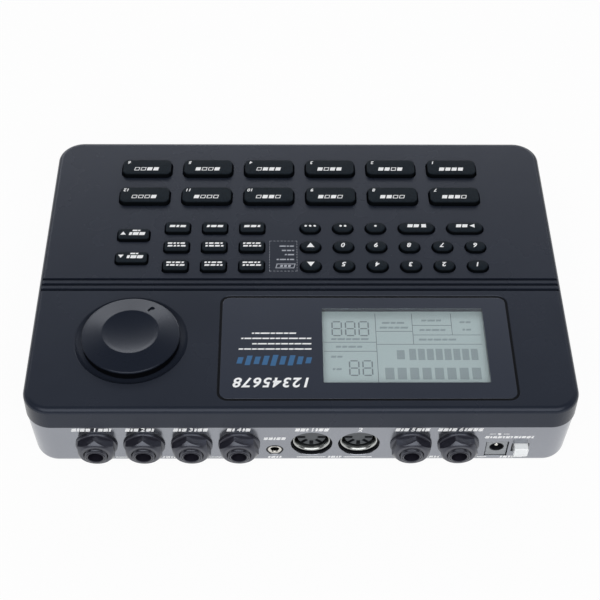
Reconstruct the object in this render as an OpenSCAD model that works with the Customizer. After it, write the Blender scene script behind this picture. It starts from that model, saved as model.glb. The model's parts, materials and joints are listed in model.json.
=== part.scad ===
// Table-top drum machine.
// -Y is the player's side, +Y the socket panel, +X the player's right, +Z up. Lengths are millimetres.
// The deck slopes down towards the player. Everything on it is placed in the deck's own plane:
// u runs to the player's right, v to the rear from the deck's middle, w up out of the deck.

/* [Case] */
// Width of the case, left to right
case_w = 236; // [228:1:244]
// Depth of the case, front to rear, along the deck
case_d = 169; // [166:1:176]
// Radius of the case's corners, seen from above
corner_r = 12; // [9:0.5:14]
// Height of the deck's middle above the table
deck_mid_h = 33.8; // [33:0.1:37]
// Slope of the deck, in degrees
deck_slope = 5; // [3:0.5:6]
// Depth of the top cover, from the deck to the seam
cover_h = 12; // [11.5:0.1:13]
// Radius of the round edge between deck and skirt
edge_r = 2.1; // [1.2:0.1:2.3]
// Thickness of the deck and the walls
wall = 2.5; // [2.2:0.1:2.8]
// How far the bottom case stands back from the cover at the seam
seam_inset = 0.3; // [0.1:0.1:0.6]
// How far the bottom case draws in from the seam to its floor
side_draft = 1.4; // [0.5:0.1:2]

/* [Feet and fasteners] */
// Height of a foot below the case
foot_h = 2.5; // [2:0.1:4]
// Diameter of a foot
foot_d = 12; // [9:0.5:15]
// Depth of the seat that a foot is glued in
foot_seat = 0.6; // [0.4:0.1:1]
// Shank diameter of a case screw
screw_d = 2.8; // [2.5:0.1:3.2]
// Head diameter of a case screw
screw_head_d = 5.6; // [5:0.1:6]
// Length of a case screw's shank
screw_len = 10; // [8:0.5:11]

/* [Keys] */
// Width of a drum pad
pad_w = 23.4; // [22:0.1:26]
// Depth of a drum pad
pad_d = 10.2; // [9:0.1:12]
// Corner radius of a drum pad
pad_r = 2.6; // [1:0.1:4]
// How far a drum pad stands above the deck
pad_h = 2.2; // [1.8:0.1:3]
// Spacing of the drum pads, left to right, as a share of the case's width
pad_share = 0.12542; // [0.121:0.0001:0.129]
// Spacing of the two rows of drum pads
pad_pitch_v = 19.5; // [16:0.1:20]
// Width of a round-ended key
round_key_w = 9.1; // [8:0.1:11]
// Width of the play and stop keys
long_key_w = 16.6; // [16:0.1:19]
// Depth of a round-ended key
round_key_d = 6.4; // [5.5:0.1:7.2]
// Spacing of the round-ended keys, left to right, as a share of the case's width
round_key_share = 0.06483; // [0.0615:0.0001:0.068]
// Width of a function key
func_key_w = 11.2; // [10:0.1:13]
// Depth of a function key
func_key_d = 6.6; // [6:0.1:7.5]
// Spacing of the function keys, left to right, as a share of the case's width
func_key_share = 0.07373; // [0.07:0.0001:0.076]
// Spacing of the key rows, front to rear
key_row_pitch = 12.3; // [11.5:0.1:13]
// Width of a tempo key
tempo_key_w = 14.3; // [13:0.1:16]
// Corner radius of the function and tempo keys
func_key_r = 1.3; // [0.5:0.1:2]
// How far the small keys stand above the deck
key_h = 1.5; // [1.1:0.1:2]
// Travel of every key
key_travel = 1.4; // [1:0.1:1.8]
// Gap between a key and its opening in the cover
key_gap = 0.35; // [0.2:0.05:0.5]
// How far a key's flange reaches under the cover
key_lip = 1; // [0.8:0.1:1.3]
// Thickness of a key's flange
key_flange_t = 1; // [0.8:0.1:1.4]

/* [Data wheel] */
// Diameter of the wheel
wheel_d = 43; // [38:0.5:45]
// Height of the wheel's edge above the deck
wheel_edge_h = 3.6; // [3:0.1:5]
// Height of the dish's rim above the deck
wheel_rim_h = 5.6; // [5.2:0.1:7]
// Diameter of the finger dish in the wheel
dish_d = 24.4; // [20:0.2:26]
// Depth of the finger dish
dish_depth = 1.2; // [0.8:0.1:1.4]
// Diameter of the sunk ring round the wheel
recess_d = 49.4; // [47:0.2:51]
// Depth of the sunk ring
recess_depth = 1.5; // [1.2:0.1:2]
// Diameter of the encoder's shaft
shaft_d = 6; // [5:0.1:6.2]

/* [Display] */
// Width of the glossy lens
lens_w = 126.2; // [118:0.2:130]
// Depth of the glossy lens
lens_d = 57.6; // [54:0.2:60]
// Corner radius of the lens
lens_r = 3.5; // [2:0.1:5]
// Thickness of the lens
lens_t = 1.2; // [0.9:0.1:1.5]
// Width of the window over the display
window_w = 71.4; // [66:0.2:74]
// Depth of the window over the display
window_d = 42.6; // [38:0.2:45]
// Thickness of the display glass
glass_t = 3; // [2:0.1:4]

/* [Socket panel] */
// Height of the large sockets' axes above the underside of the case
socket_h = 13.4; // [13:0.1:14]
// Spacing of the large sockets, as a share of the case's width
socket_share = 0.08665; // [0.083:0.00005:0.09]
// Bore of a large audio socket
jack_bore_d = 6.6; // [6.4:0.05:6.8]
// Outside diameter of the threaded ferrule
ferrule_d = 9.5; // [9:0.1:10]
// How far the ferrule stands out of the panel
ferrule_out = 6.9; // [6.5:0.1:8]
// Width of a nut across its flats
nut_af = 15.2; // [14:0.1:16]
// Diameter of a nut's flange
nut_flange_d = 18; // [17:0.1:19]
// Thickness of a nut's flange
nut_flange_t = 1.3; // [1:0.1:2]
// Height of a nut with its flange
nut_h = 5.8; // [5:0.1:6.2]
// Outside diameter of a round multi-pin socket
din_d = 17.5; // [16.5:0.1:17.9]
// Inside diameter of its shield
din_shield_d = 13.9; // [13.5:0.1:14.5]
// Diameter of its insulating core
din_core_d = 12.3; // [11.5:0.1:12.6]
// How far the core lies behind the panel
din_core_depth = 3.4; // [3.2:0.1:4.5]
// Bore of the small audio socket
mini_bore_d = 3.6; // [3.5:0.05:3.8]
// Outside diameter of the small audio socket's nose
mini_nose_d = 7.2; // [6:0.1:8]
// Bore of the power inlet
inlet_bore_d = 5.5; // [5.2:0.1:6]
// Width of the power button
button_w = 6.2; // [5:0.1:7]
// Height of the power button
button_h = 5.9; // [5:0.1:6.5]
// How far the power button stands out of the panel
button_out = 3; // [2:0.1:4]
// Travel of the power button
button_travel = 2.5; // [1.5:0.1:2.8]

/* [Hidden] */
$fn = 64;
SKIN = 0.01;            // thickness of the slices that hull() joins
EPS = 0.5;              // how far a cutter runs past the face that it cuts
SLIDE_GAP = 0.3;        // play round a sliding piece
RUN_GAP = 0.06;         // radial play of a turning shaft
DRIVE_GAP = 0.1;        // radial play of a screw, nut or nose in its hole
CORNER_FN = 32;         // facets of a corner circle inside hull()

// Deck layout, from the deck's middle
groove_w = 0.9;
groove_depth = 0.7;
groove_pitch = 3.2;
groove_v = 9.1;
groove_end = 1.3;
groove_count = 3;
lens_u = -case_w * 0.12;
lens_v = 49.2;
lens_sunk = 0.2;
window_side = 16.8;
lens_play = 0.25;
window_u = lens_u - window_side;
window_v = 48;
glass_border = 3.5;
wheel_u = case_w * 0.31356;
wheel_v = 45.4;
pad_u = case_w * 0.31271;
pad_pitch_u = case_w * pad_share;
pad_front_v = -64;
round_key_u = -case_w * 0.02076;
round_key_pitch = case_w * round_key_share;
key_front_v = -23.3;
stop_key_u = -case_w * 0.2318;
play_key_u = -case_w * 0.3284;
func_key_u = case_w * 0.24153;
func_key_pitch = case_w * func_key_share;
tempo_key_u = case_w * 0.32754;
tempo_key_v = [-18.6, -3.6];

// Stack below the deck, along w
flange_top = -wall - SLIDE_GAP;
mat_top = flange_top - key_flange_t - key_travel - DRIVE_GAP;
mat_t = 1;
board_t = 1.6;
key_board_top = mat_top - mat_t;
key_board_bottom = key_board_top - board_t;
key_board_w = case_w * 0.822;
key_board_front = -75;
key_board_rear = 9.5;
mat_w = case_w * 0.754;
mat_margin = 1.5;
post_d = 6;
post_inset = 3.6;
post_in = 20;

// Case in the world frame
slope_sin = sin(deck_slope);
slope_cos = cos(deck_slope);
panel_reach = (case_d / 2 - seam_inset) * slope_cos + cover_h * slope_sin;
front_reach = case_d / 2 * slope_cos - edge_r * slope_sin;
case_y = (front_reach - panel_reach - ferrule_out) / 2;  // puts Y 0 half way, front to ferrules
panel_y = case_y + panel_reach;
panel_in = panel_y - wall;
seam_front_y = case_y - (case_d / 2 - seam_inset) * slope_cos + cover_h * slope_sin;
base_front_y = seam_front_y + side_draft;
base_w = case_w - 2 * (seam_inset + side_draft);
base_d = panel_y - base_front_y;
base_y = (panel_y + base_front_y) / 2;
floor_z = foot_h + wall;

// Screw bosses, one row at each side, and the boss's joint with the cover's pillars
boss_side = 12;
boss_front = 11;
boss_rear = 14;
boss_x = case_w / 2 - boss_side;
boss_y = [base_front_y + boss_front, base_y, panel_y - boss_rear];
boss_d = 8.4;
pillar_d = 7;
boss_top = floor_z + 8.5;
screw_seat = floor_z + 3;
screw_head_t = 2.2;
access_d = 6.4;
foot_side = 23;
foot_front = 22;
foot_rear = 24;
foot_x = case_w / 2 - foot_side;
foot_y = [base_front_y + foot_front, panel_y - foot_rear];

// Wheel and its encoder, heights along w
bush_d = 8.6;
bush_out = 1.8;
bush_top = bush_out - recess_depth;
encoder_w = 13.6;
encoder_h = 7;
shaft_in = 6;
shaft_top = 3;
wheel_skirt = 0.6 - recess_depth;
wheel_edge_r = 1.2;
wheel_wall = 1.8;
hub_d = 13;
dish_steps = 6;
mark_r = 17.2;
mark_len = 5;
mark_w = 1.3;
mark_depth = 0.4;
mark_angle = 236;
ring_run = wheel_d / 2 - wheel_edge_r - dish_d / 2;
mark_tilt = atan((wheel_rim_h - wheel_edge_h) / ring_run);
mark_rise = (wheel_d / 2 - wheel_edge_r - mark_r) * tan(mark_tilt);

// Main board and sockets
board_lift = 1;
main_top = floor_z + board_lift + board_t;
main_side = 18;
main_w = case_w - 2 * main_side;
main_d = 58;
main_gap = 2;
main_rear = panel_in - main_gap;
board_screw_d = 2.4;
board_head_d = 4.6;
board_head_t = 1.4;
board_screw_len = 3;
standoff_d = 6;
standoff_side = 6;
standoff_front = 5;
standoff_rear = 27;
standoff_x = [standoff_side - main_w / 2, 0.6, main_w / 2 - standoff_side];
standoff_y = [main_rear - main_d + standoff_front, main_rear - standoff_rear];
socket_z = foot_h + socket_h;
socket_pitch = case_w * socket_share;
jack_start = [case_w * 0.3733, -case_w * 0.20085];
jack_count = [4, 2];
jack_x = [for (g = [0:1], i = [0:jack_count[g] - 1]) jack_start[g] - i * socket_pitch];
jack_body_w = 15.4;
jack_body_d = 23;
jack_bore_len = 30;
socket_body_h = 2 * (socket_z - main_top);
nut_turn = [0, 19, 8, -12, 24, 5];
nut_chamfer = 0.9;
din_start = -case_w * 0.01886;
din_x = [for (i = [0:1]) din_start - i * socket_pitch];
din_sunk = 0.6;
din_gap = 1.45;
din_body_w = socket_pitch - din_gap;
din_body_d = 11;
din_barrel_in = 1.8;
din_shield_depth = 10;
din_core_len = din_shield_depth - din_core_depth;
din_pin_d = 1.9;
din_pin_circle = 4.6;
din_pin_depth = 5.5;
din_pin_angles = [0:45:180];
mini_x = case_w * 0.0485;
mini_z = foot_h + 8.6;
mini_body_w = 7.5;
mini_body_h = 2 * (mini_z - main_top);
mini_body_d = 13;
mini_bore_len = 14;
inlet_x = -case_w * 0.3597;
inlet_z = foot_h + 10.1;
inlet_w = 9;
inlet_body_h = 2 * (inlet_z - main_top);
inlet_body_d = 13;
inlet_pin_d = 2;
inlet_depth = 9;
inlet_pin_len = 7.7;
inlet_cut_w = 9.7;
inlet_cut_z = [foot_h + 3.3, foot_h + 15.1];
inlet_sunk = 0.8;
button_x = -case_w * 0.4034;
button_z = foot_h + 10.3;
button_flange = 0.9;
button_flange_t = 1;
button_stem_d = 2.6;
button_stem_len = 5;
button_back = panel_in - SLIDE_GAP - button_flange_t;
switch_front = button_back - button_travel - SLIDE_GAP;
switch_w = 8.4;
switch_h = 2 * (button_z - main_top);
switch_d = 9;
cell_d = 20;
cell_t = 3.2;
cell_holder_d = 23;
cell_holder_t = 1.2;
cell_x = 40;
cell_rear = 40;
cell_pos = [cell_x, main_rear - cell_rear];

// Keys: name, u, v, width, depth, corner radius, height
function row_v(row) = key_front_v + row * key_row_pitch;
function pad_row(name_from, row) = [for (i = [0:5])
    [str("pad_", name_from + 5 - i), pad_u - i * pad_pitch_u, pad_front_v + row * pad_pitch_v,
     pad_w, pad_d, pad_r, pad_h]];
function round_key(name, u, row, w) = [name, u, row_v(row), w, round_key_d, round_key_d / 2 - SKIN, key_h];
round_rows = [["key_fill", "key_pattern_b", "key_pattern_a"],
              ["key_down", "key_0", "key_9", "key_8", "key_7", "key_6"],
              ["key_up", "key_5", "key_4", "key_3", "key_2", "key_1"]];
pads = concat(pad_row(1, 0), pad_row(7, 1));
round_keys = [for (row = [0:2], i = [0:len(round_rows[row]) - 1])
    round_key(round_rows[row][i], round_key_u - i * round_key_pitch, row, round_key_w)];
long_keys = [round_key("key_stop", stop_key_u, 0, long_key_w), round_key("key_play", play_key_u, 0, long_key_w)];
func_keys = [for (row = [0:2], i = [0:2])
    [str("function_key_", row * 3 + i + 1), func_key_u - i * func_key_pitch, row_v(row),
     func_key_w, func_key_d, func_key_r, key_h]];
tempo_keys = [for (i = [0:1])
    [["key_tempo_down", "key_tempo_up"][i], tempo_key_u, tempo_key_v[i],
     tempo_key_w, func_key_d, func_key_r, key_h]];
KEYS = concat(pads, round_keys, long_keys, func_keys, tempo_keys);
STATIC_NODES = ["top_cover", "bottom_case", "display_lens", "display_panel", "key_mat", "key_board", "main_board",
    "wheel_encoder", "wheel_shaft", "data_wheel", "jack_bodies", "jack_nuts", "round_sockets", "mini_jack",
    "power_inlet", "power_switch", "power_button", "backup_cell", "case_screws", "rubber_feet"];

// Puts its children in the deck's plane, u v w for x y z
module on_deck(u = 0, v = 0, w = 0) {
    translate([0, case_y, deck_mid_h]) rotate([deck_slope, 0, 0]) translate([u, v, w]) children();
}

// Turns its children's +Z towards the rear, with z measured from the panel's outside
module on_panel(x, z) {
    translate([x, panel_y, z]) rotate([-90, 0, 0]) children();
}

// A flat outline with round corners, centred
module rounded(w, d, r, fn = $fn) {
    square([w - 2 * r, d], center = true);
    square([w, d - 2 * r], center = true);
    for (x = [-1, 1], y = [-1, 1]) translate([x * (w / 2 - r), y * (d / 2 - r)]) circle(r, $fn = fn);
}

// A plate with round corners from w0 up to w1
module plate(w, d, r, w0, w1) {
    translate([0, 0, w0]) linear_extrude(w1 - w0) rounded(w, d, r);
}

// A thin slice of the case's outline, drawn in by inset, for hull()
module slice(inset) {
    linear_extrude(SKIN) rounded(case_w - 2 * inset, case_d - 2 * inset, corner_r - inset, CORNER_FN);
}

// Outside of the cover: the deck, its round edge and the skirt, from four turned corners
module cover_block() {
    hull() for (x = [-1, 1], y = [-1, 1])
        translate([x * (case_w / 2 - corner_r), y * (case_d / 2 - corner_r), 0])
            rotate_extrude($fn = CORNER_FN) polygon(concat([[0, 0], [0, -cover_h], [corner_r, -cover_h]],
                [for (a = [0:22.5:90])
                    [corner_r - edge_r * (1 - cos(a)), -edge_r * (1 - sin(a))]]));
}

// The bottom case's outside, or its inside when inset is the wall
module case_block(inset, base, rise) {
    hull() {
        on_deck(w = rise - cover_h - SKIN) slice(seam_inset + inset);
        translate([0, base_y, base]) linear_extrude(SKIN)
            rounded(base_w - 2 * inset, base_d - 2 * inset, corner_r - side_draft - inset, CORNER_FN);
    }
}

module screw_places() {
    for (x = [-boss_x, boss_x], y = boss_y) translate([x, y, 0]) children();
}

module post_places() {
    for (u = [-1, 1], v = [key_board_front + post_in, key_board_rear - post_in])
        on_deck(u * (key_board_w / 2 - post_inset), v) children();
}

module standoff_places() {
    for (x = standoff_x) translate([x, standoff_y[0], 0]) children();
    for (x = [standoff_x[0], standoff_x[2]]) translate([x, standoff_y[1], 0]) children();
}

module foot_places() {
    for (x = [-foot_x, foot_x], y = foot_y) translate([x, y, 0]) children();
}

// Sloping ring that the wheel sits in, and the flat floor under the wheel
module wheel_recess() {
    rotate_extrude() polygon([[0, -recess_depth], [wheel_d / 2 + 0.8, -recess_depth], [recess_d / 2, 0],
        [recess_d / 2, EPS], [0, EPS]]);
}

// Height of the deck's underside above the table at a place y
function ceiling_z(y) = deck_mid_h + (y - case_y) * tan(deck_slope) - wall / slope_cos;

module key_hole(k) {
    on_deck(k[1], k[2]) plate(k[3] + 2 * key_gap, k[4] + 2 * key_gap, k[5] + key_gap, -wall - EPS, EPS);
}

module top_cover() color([0.2, 0.21, 0.24]) difference() {
    union() {
        on_deck() difference() {
            cover_block();
            plate(case_w - 2 * wall, case_d - 2 * wall, corner_r - wall, -cover_h - EPS, -wall);
        }
        on_deck(wheel_u, wheel_v, -recess_depth - wall) cylinder(d = recess_d + 2, h = recess_depth + wall / 2);
        for (x = [-boss_x, boss_x], y = boss_y) translate([x, y, boss_top])
            cylinder(d = pillar_d, h = ceiling_z(y) + wall / 2 - boss_top);
        post_places() translate([0, 0, key_board_top]) cylinder(d = post_d, h = -wall / 2 - key_board_top);
    }
    for (k = KEYS) key_hole(k);
    for (i = [0:groove_count - 1]) on_deck(0, groove_v + i * groove_pitch, -groove_depth)
        translate([groove_end - case_w / 2, -groove_w / 2, 0]) cube([case_w - 2 * groove_end, groove_w, edge_r]);
    on_deck(lens_u, lens_v)
        plate(lens_w + 2 * lens_play, lens_d + 2 * lens_play, lens_r + lens_play, -lens_sunk - lens_t, EPS);
    on_deck(window_u, window_v, -wall - EPS) translate([-window_w / 2, -window_d / 2, 0])
        cube([window_w, window_d, wall + 2 * EPS]);
    on_deck(wheel_u, wheel_v) wheel_recess();
    on_deck(wheel_u, wheel_v, -recess_depth - wall - EPS) cylinder(d = bush_d + 2 * DRIVE_GAP, h = wall + 2 * EPS);
    for (x = [-boss_x, boss_x], y = boss_y) translate([x, y, boss_top - EPS])
        cylinder(d = screw_d + 2 * DRIVE_GAP, h = screw_len - (boss_top - screw_seat) + 2 * EPS);
    post_places() translate([0, 0, key_board_top - EPS])
        cylinder(d = board_screw_d + 2 * DRIVE_GAP, h = board_screw_len + EPS);
}

// Round hole through the socket panel
module panel_hole(x, z, d) {
    on_panel(x, z) translate([0, 0, -wall - EPS]) cylinder(d = d, h = wall + 2 * EPS);
}

// Square-cornered hole through the socket panel
module panel_slot(x, z0, z1, w) {
    translate([x - w / 2, panel_in - EPS, z0]) cube([w, wall + 2 * EPS, z1 - z0]);
}

module bottom_case() color([0.35, 0.36, 0.39]) difference() {
    union() {
        difference() {
            case_block(0, foot_h, 0);
            case_block(wall, floor_z, EPS);
        }
        screw_places() translate([0, 0, foot_h]) cylinder(d = boss_d, h = boss_top - foot_h);
        standoff_places() translate([0, 0, foot_h]) cylinder(d = standoff_d, h = wall + board_lift);
    }
    screw_places() {
        translate([0, 0, foot_h - EPS]) cylinder(d = screw_d + 4 * DRIVE_GAP, h = boss_top);
        translate([0, 0, foot_h - EPS]) cylinder(d = access_d, h = screw_seat - foot_h + EPS);
    }
    standoff_places() translate([0, 0, floor_z - 1])
        cylinder(d = board_screw_d + 2 * DRIVE_GAP, h = board_lift + 1 + EPS);
    foot_places() translate([0, 0, foot_h - EPS]) cylinder(d = foot_d + 2 * DRIVE_GAP, h = foot_seat + EPS);
    for (x = jack_x) panel_hole(x, socket_z, ferrule_d + 2 * DRIVE_GAP);
    for (x = din_x) panel_hole(x, socket_z, din_d + 4 * DRIVE_GAP);
    panel_hole(mini_x, mini_z, mini_nose_d + 2 * DRIVE_GAP);
    panel_slot(inlet_x, inlet_cut_z[0], inlet_cut_z[1], inlet_cut_w);
    panel_slot(button_x, button_z - button_h / 2 - SLIDE_GAP, button_z + button_h / 2 + SLIDE_GAP,
        button_w + 2 * SLIDE_GAP);
}

module display_lens() color([0.16, 0.17, 0.2]) on_deck(lens_u, lens_v)
    plate(lens_w, lens_d, lens_r, -lens_sunk - lens_t, -lens_sunk);

module display_panel() color([0.72, 0.76, 0.74]) on_deck(window_u, window_v, -wall - glass_t)
    translate([-window_w / 2 - glass_border, -window_d / 2 - glass_border, 0])
    cube([window_w + 2 * glass_border, window_d + 2 * glass_border, glass_t]);

// One rubber sheet under all the keys
module key_mat() color([0.12, 0.15, 0.17]) {
    front = pad_front_v - pad_d / 2 - mat_margin;
    rear = row_v(2) + func_key_d / 2 + mat_margin;
    on_deck(0, (front + rear) / 2) plate(mat_w, rear - front, 2, key_board_top, mat_top);
}

module key_board() color([0.1, 0.3, 0.16]) difference() {
    on_deck(0, (key_board_front + key_board_rear) / 2)
        plate(key_board_w, key_board_rear - key_board_front, 1.5, key_board_bottom, key_board_top);
    post_places() translate([0, 0, key_board_bottom - EPS])
        cylinder(d = board_screw_d + 4 * DRIVE_GAP, h = board_t + 2 * EPS);
}

module main_board() color([0.08, 0.33, 0.18]) difference() {
    translate([-main_w / 2, main_rear - main_d, main_top - board_t]) cube([main_w, main_d, board_t]);
    standoff_places() translate([0, 0, main_top - board_t - EPS])
        cylinder(d = board_screw_d + 4 * DRIVE_GAP, h = board_t + 2 * EPS);
}

// Rotary encoder hung under the wheel's recess by its bush
module wheel_encoder() color([0.55, 0.56, 0.58]) on_deck(wheel_u, wheel_v, -recess_depth - wall) difference() {
    union() {
        translate([-encoder_w / 2, -encoder_w / 2, -encoder_h]) cube([encoder_w, encoder_w, encoder_h]);
        translate([0, 0, -encoder_h / 2]) cylinder(d = bush_d, h = encoder_h / 2 + wall + bush_out);
    }
    translate([0, 0, -shaft_in - DRIVE_GAP])
        cylinder(d = shaft_d + 2 * RUN_GAP, h = shaft_in + DRIVE_GAP + wall + bush_out + EPS);
}

module wheel_shaft() color([0.75, 0.76, 0.78]) on_deck(wheel_u, wheel_v, -recess_depth - wall - shaft_in)
    cylinder(d = shaft_d, h = shaft_in + recess_depth + wall + shaft_top);

// Wheel with a finger dish on top and a hub that takes the shaft
module data_wheel() color([0.14, 0.15, 0.17]) on_deck(wheel_u, wheel_v) difference() {
    rotate_extrude(convexity = 6) difference() {
        polygon(concat(
            [[0, wheel_skirt], [wheel_d / 2, wheel_skirt]],
            [for (a = [0:22.5:90]) [wheel_d / 2 - wheel_edge_r * (1 - cos(a)),
                                    wheel_edge_h - wheel_edge_r * (1 - sin(a))]],
            [for (i = [0:dish_steps]) let (r = dish_d / 2 * (1 - i / dish_steps))
                [r, wheel_rim_h - dish_depth * (1 - pow(2 * r / dish_d, 2))]]));
        translate([hub_d / 2, wheel_skirt - EPS]) square([wheel_d / 2 - wheel_wall - hub_d / 2,
            wheel_edge_h - wheel_wall - wheel_skirt + EPS]);
        translate([0, wheel_skirt - EPS])
            square([bush_d / 2 + 2 * SLIDE_GAP, bush_top + SLIDE_GAP - wheel_skirt + EPS]);
        square([shaft_d / 2 + DRIVE_GAP / 2, shaft_top + DRIVE_GAP]);
    }
    rotate(mark_angle) translate([mark_r, 0, wheel_edge_h + mark_rise]) rotate([0, mark_tilt, 0])
        plate(mark_len, mark_w, mark_w / 2 - SKIN, -mark_depth, mark_len);
}

// Body and ferrule of one large audio socket, at z 0 on the panel
module jack() difference() {
    union() {
        translate([-jack_body_w / 2, -socket_body_h / 2, -wall - jack_body_d])
            cube([jack_body_w, socket_body_h, jack_body_d]);
        translate([0, 0, -wall - SKIN]) cylinder(d = ferrule_d, h = wall + ferrule_out + SKIN);
    }
    translate([0, 0, ferrule_out - jack_bore_len]) cylinder(d = jack_bore_d, h = jack_bore_len + EPS);
}

module jack_bodies() color([0.13, 0.13, 0.14]) for (x = jack_x) on_panel(x, socket_z) jack();

// Flanged hex nut with the corners of its face turned off
module nut() difference() {
    union() {
        cylinder(d = nut_flange_d, h = nut_flange_t);
        intersection() {
            cylinder(d = nut_af / cos(30), h = nut_h, $fn = 6);
            rotate_extrude() polygon([[0, 0], [nut_af, 0], [nut_af / 2 + nut_chamfer, nut_h - nut_chamfer / 2],
                [nut_af / 2 - nut_chamfer / 2, nut_h], [0, nut_h]]);
        }
    }
    translate([0, 0, -EPS]) cylinder(d = ferrule_d + 2 * DRIVE_GAP, h = nut_h + 2 * EPS);
}

module jack_nuts() color([0.1, 0.1, 0.11]) for (i = [0:len(jack_x) - 1])
    on_panel(jack_x[i], socket_z) rotate(nut_turn[i] + 30) nut();

// Round multi-pin socket: its housing with the shield's bore, and the core with five pin holes
module round_socket() {
    difference() {
        union() {
            translate([0, 0, -wall - din_barrel_in]) cylinder(d = din_d, h = wall + din_barrel_in - din_sunk);
            translate([-din_body_w / 2, -socket_body_h / 2, -wall - din_barrel_in - din_body_d])
                cube([din_body_w, socket_body_h, din_body_d]);
        }
        translate([0, 0, -din_shield_depth]) cylinder(d = din_shield_d, h = din_shield_depth);
    }
    difference() {
        translate([0, 0, -din_shield_depth]) cylinder(d = din_core_d, h = din_core_len);
        for (a = din_pin_angles) rotate(a) translate([din_pin_circle, 0, -din_core_depth - din_pin_depth])
            cylinder(d = din_pin_d, h = din_pin_depth + EPS);
    }
}

module round_sockets() color([0.2, 0.2, 0.21]) for (x = din_x) on_panel(x, socket_z) round_socket();

// Box behind a round nose, on a socket's axis
module socket_box(w, h, d) {
    translate([-w / 2, -h / 2, -wall - d]) cube([w, h, d]);
}

module mini_jack() color([0.7, 0.7, 0.68]) on_panel(mini_x, mini_z) difference() {
    union() {
        socket_box(mini_body_w, mini_body_h, mini_body_d);
        translate([0, 0, -wall - SKIN]) cylinder(d = mini_nose_d, h = wall + SKIN);
    }
    translate([0, 0, -mini_bore_len]) cylinder(d = mini_bore_d, h = mini_bore_len + EPS);
}

// Power inlet, its nose filling the panel's cut-out, and the centre pin that stands in its bore
module power_inlet() color([0.08, 0.08, 0.09]) on_panel(inlet_x, inlet_z) {
    difference() {
        union() {
            socket_box(inlet_w, inlet_body_h, inlet_body_d);
            translate([-inlet_w / 2, -inlet_body_h / 2, -wall - SKIN])
                cube([inlet_w, inlet_body_h, wall - inlet_sunk]);
        }
        translate([0, 0, -inlet_depth]) cylinder(d = inlet_bore_d, h = inlet_depth + EPS);
    }
    translate([0, 0, -inlet_depth]) cylinder(d = inlet_pin_d, h = inlet_pin_len);
}

module power_switch() color([0.3, 0.3, 0.32]) difference() {
    translate([button_x - switch_w / 2, switch_front - switch_d, button_z - switch_h / 2])
        cube([switch_w, switch_d, switch_h]);
    translate([button_x, switch_front + EPS, button_z]) rotate([90, 0, 0])
        cylinder(d = button_stem_d + 2 * SLIDE_GAP, h = button_stem_len + EPS);
}

module power_button() color([0.93, 0.93, 0.92]) translate([button_x, 0, button_z]) {
    translate([-button_w / 2, button_back, -button_h / 2])
        cube([button_w, panel_y + button_out - button_back, button_h]);
    translate([-button_w / 2 - button_flange, button_back, -button_h / 2 - button_flange])
        cube([button_w + 2 * button_flange, button_flange_t, button_h + 2 * button_flange]);
    translate([0, button_back + SKIN, 0]) rotate([90, 0, 0]) cylinder(d = button_stem_d, h = button_stem_len);
}

// Coin cell in its holder on the main board
module backup_cell() color([0.8, 0.8, 0.78]) translate([cell_pos[0], cell_pos[1], main_top]) {
    cylinder(d = cell_holder_d, h = cell_holder_t);
    translate([0, 0, cell_holder_t - SKIN]) cylinder(d = cell_d, h = cell_t + SKIN);
}

// Screw with its head below z 0 and its shank above
module screw(shank, len, head, head_t) {
    translate([0, 0, -head_t]) cylinder(d = head, h = head_t);
    translate([0, 0, -SKIN]) cylinder(d = shank, h = len + SKIN);
}

module case_screws() color([0.25, 0.25, 0.27]) {
    screw_places() translate([0, 0, screw_seat]) screw(screw_d, screw_len, screw_head_d, screw_head_t);
    post_places() translate([0, 0, key_board_bottom])
        screw(board_screw_d, board_t + board_screw_len - DRIVE_GAP, board_head_d, board_head_t);
    standoff_places() translate([0, 0, main_top]) mirror([0, 0, 1])
        screw(board_screw_d, board_t + board_lift + 1 - DRIVE_GAP, board_head_d, board_head_t);
}

module rubber_feet() color([0.07, 0.07, 0.07]) foot_places() cylinder(d = foot_d, h = foot_h + foot_seat);

// A key: its cap through the cover, and the flange that keeps it under the cover
module key(k) color([0.13, 0.17, 0.2]) on_deck(k[1], k[2]) {
    plate(k[3], k[4], k[5], flange_top - key_flange_t, k[6]);
    plate(k[3] + 2 * key_lip, k[4] + 2 * key_lip, k[5] + key_lip, flange_top - key_flange_t, flange_top);
}

top_cover();
bottom_case();
display_lens();
display_panel();
key_mat();
key_board();
main_board();
wheel_encoder();
wheel_shaft();
data_wheel();
jack_bodies();
jack_nuts();
round_sockets();
mini_jack();
power_inlet();
power_switch();
power_button();
backup_cell();
case_screws();
rubber_feet();
for (k = KEYS) key(k);
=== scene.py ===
# %% [markdown]
# # A table-top drum machine, piece by piece
#
# This lesson dresses a finished construction model with shapes and finishes that hold up close to the eye. The
# construction gives every piece its true size and its joint. Here each piece gets the parts that only a picture
# needs: round edges, moulded grain, printed marks, threads and the shine of lacquer.
#
# Lengths are written in millimetres. A piece is drawn in its own plane and only then put in its place.

# %% Load the construction
import json
from math import atan2, ceil, cos, degrees, hypot, pi, radians, sin, tan, tau

import bmesh
import bpy
from mathutils import Matrix, Vector

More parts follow.
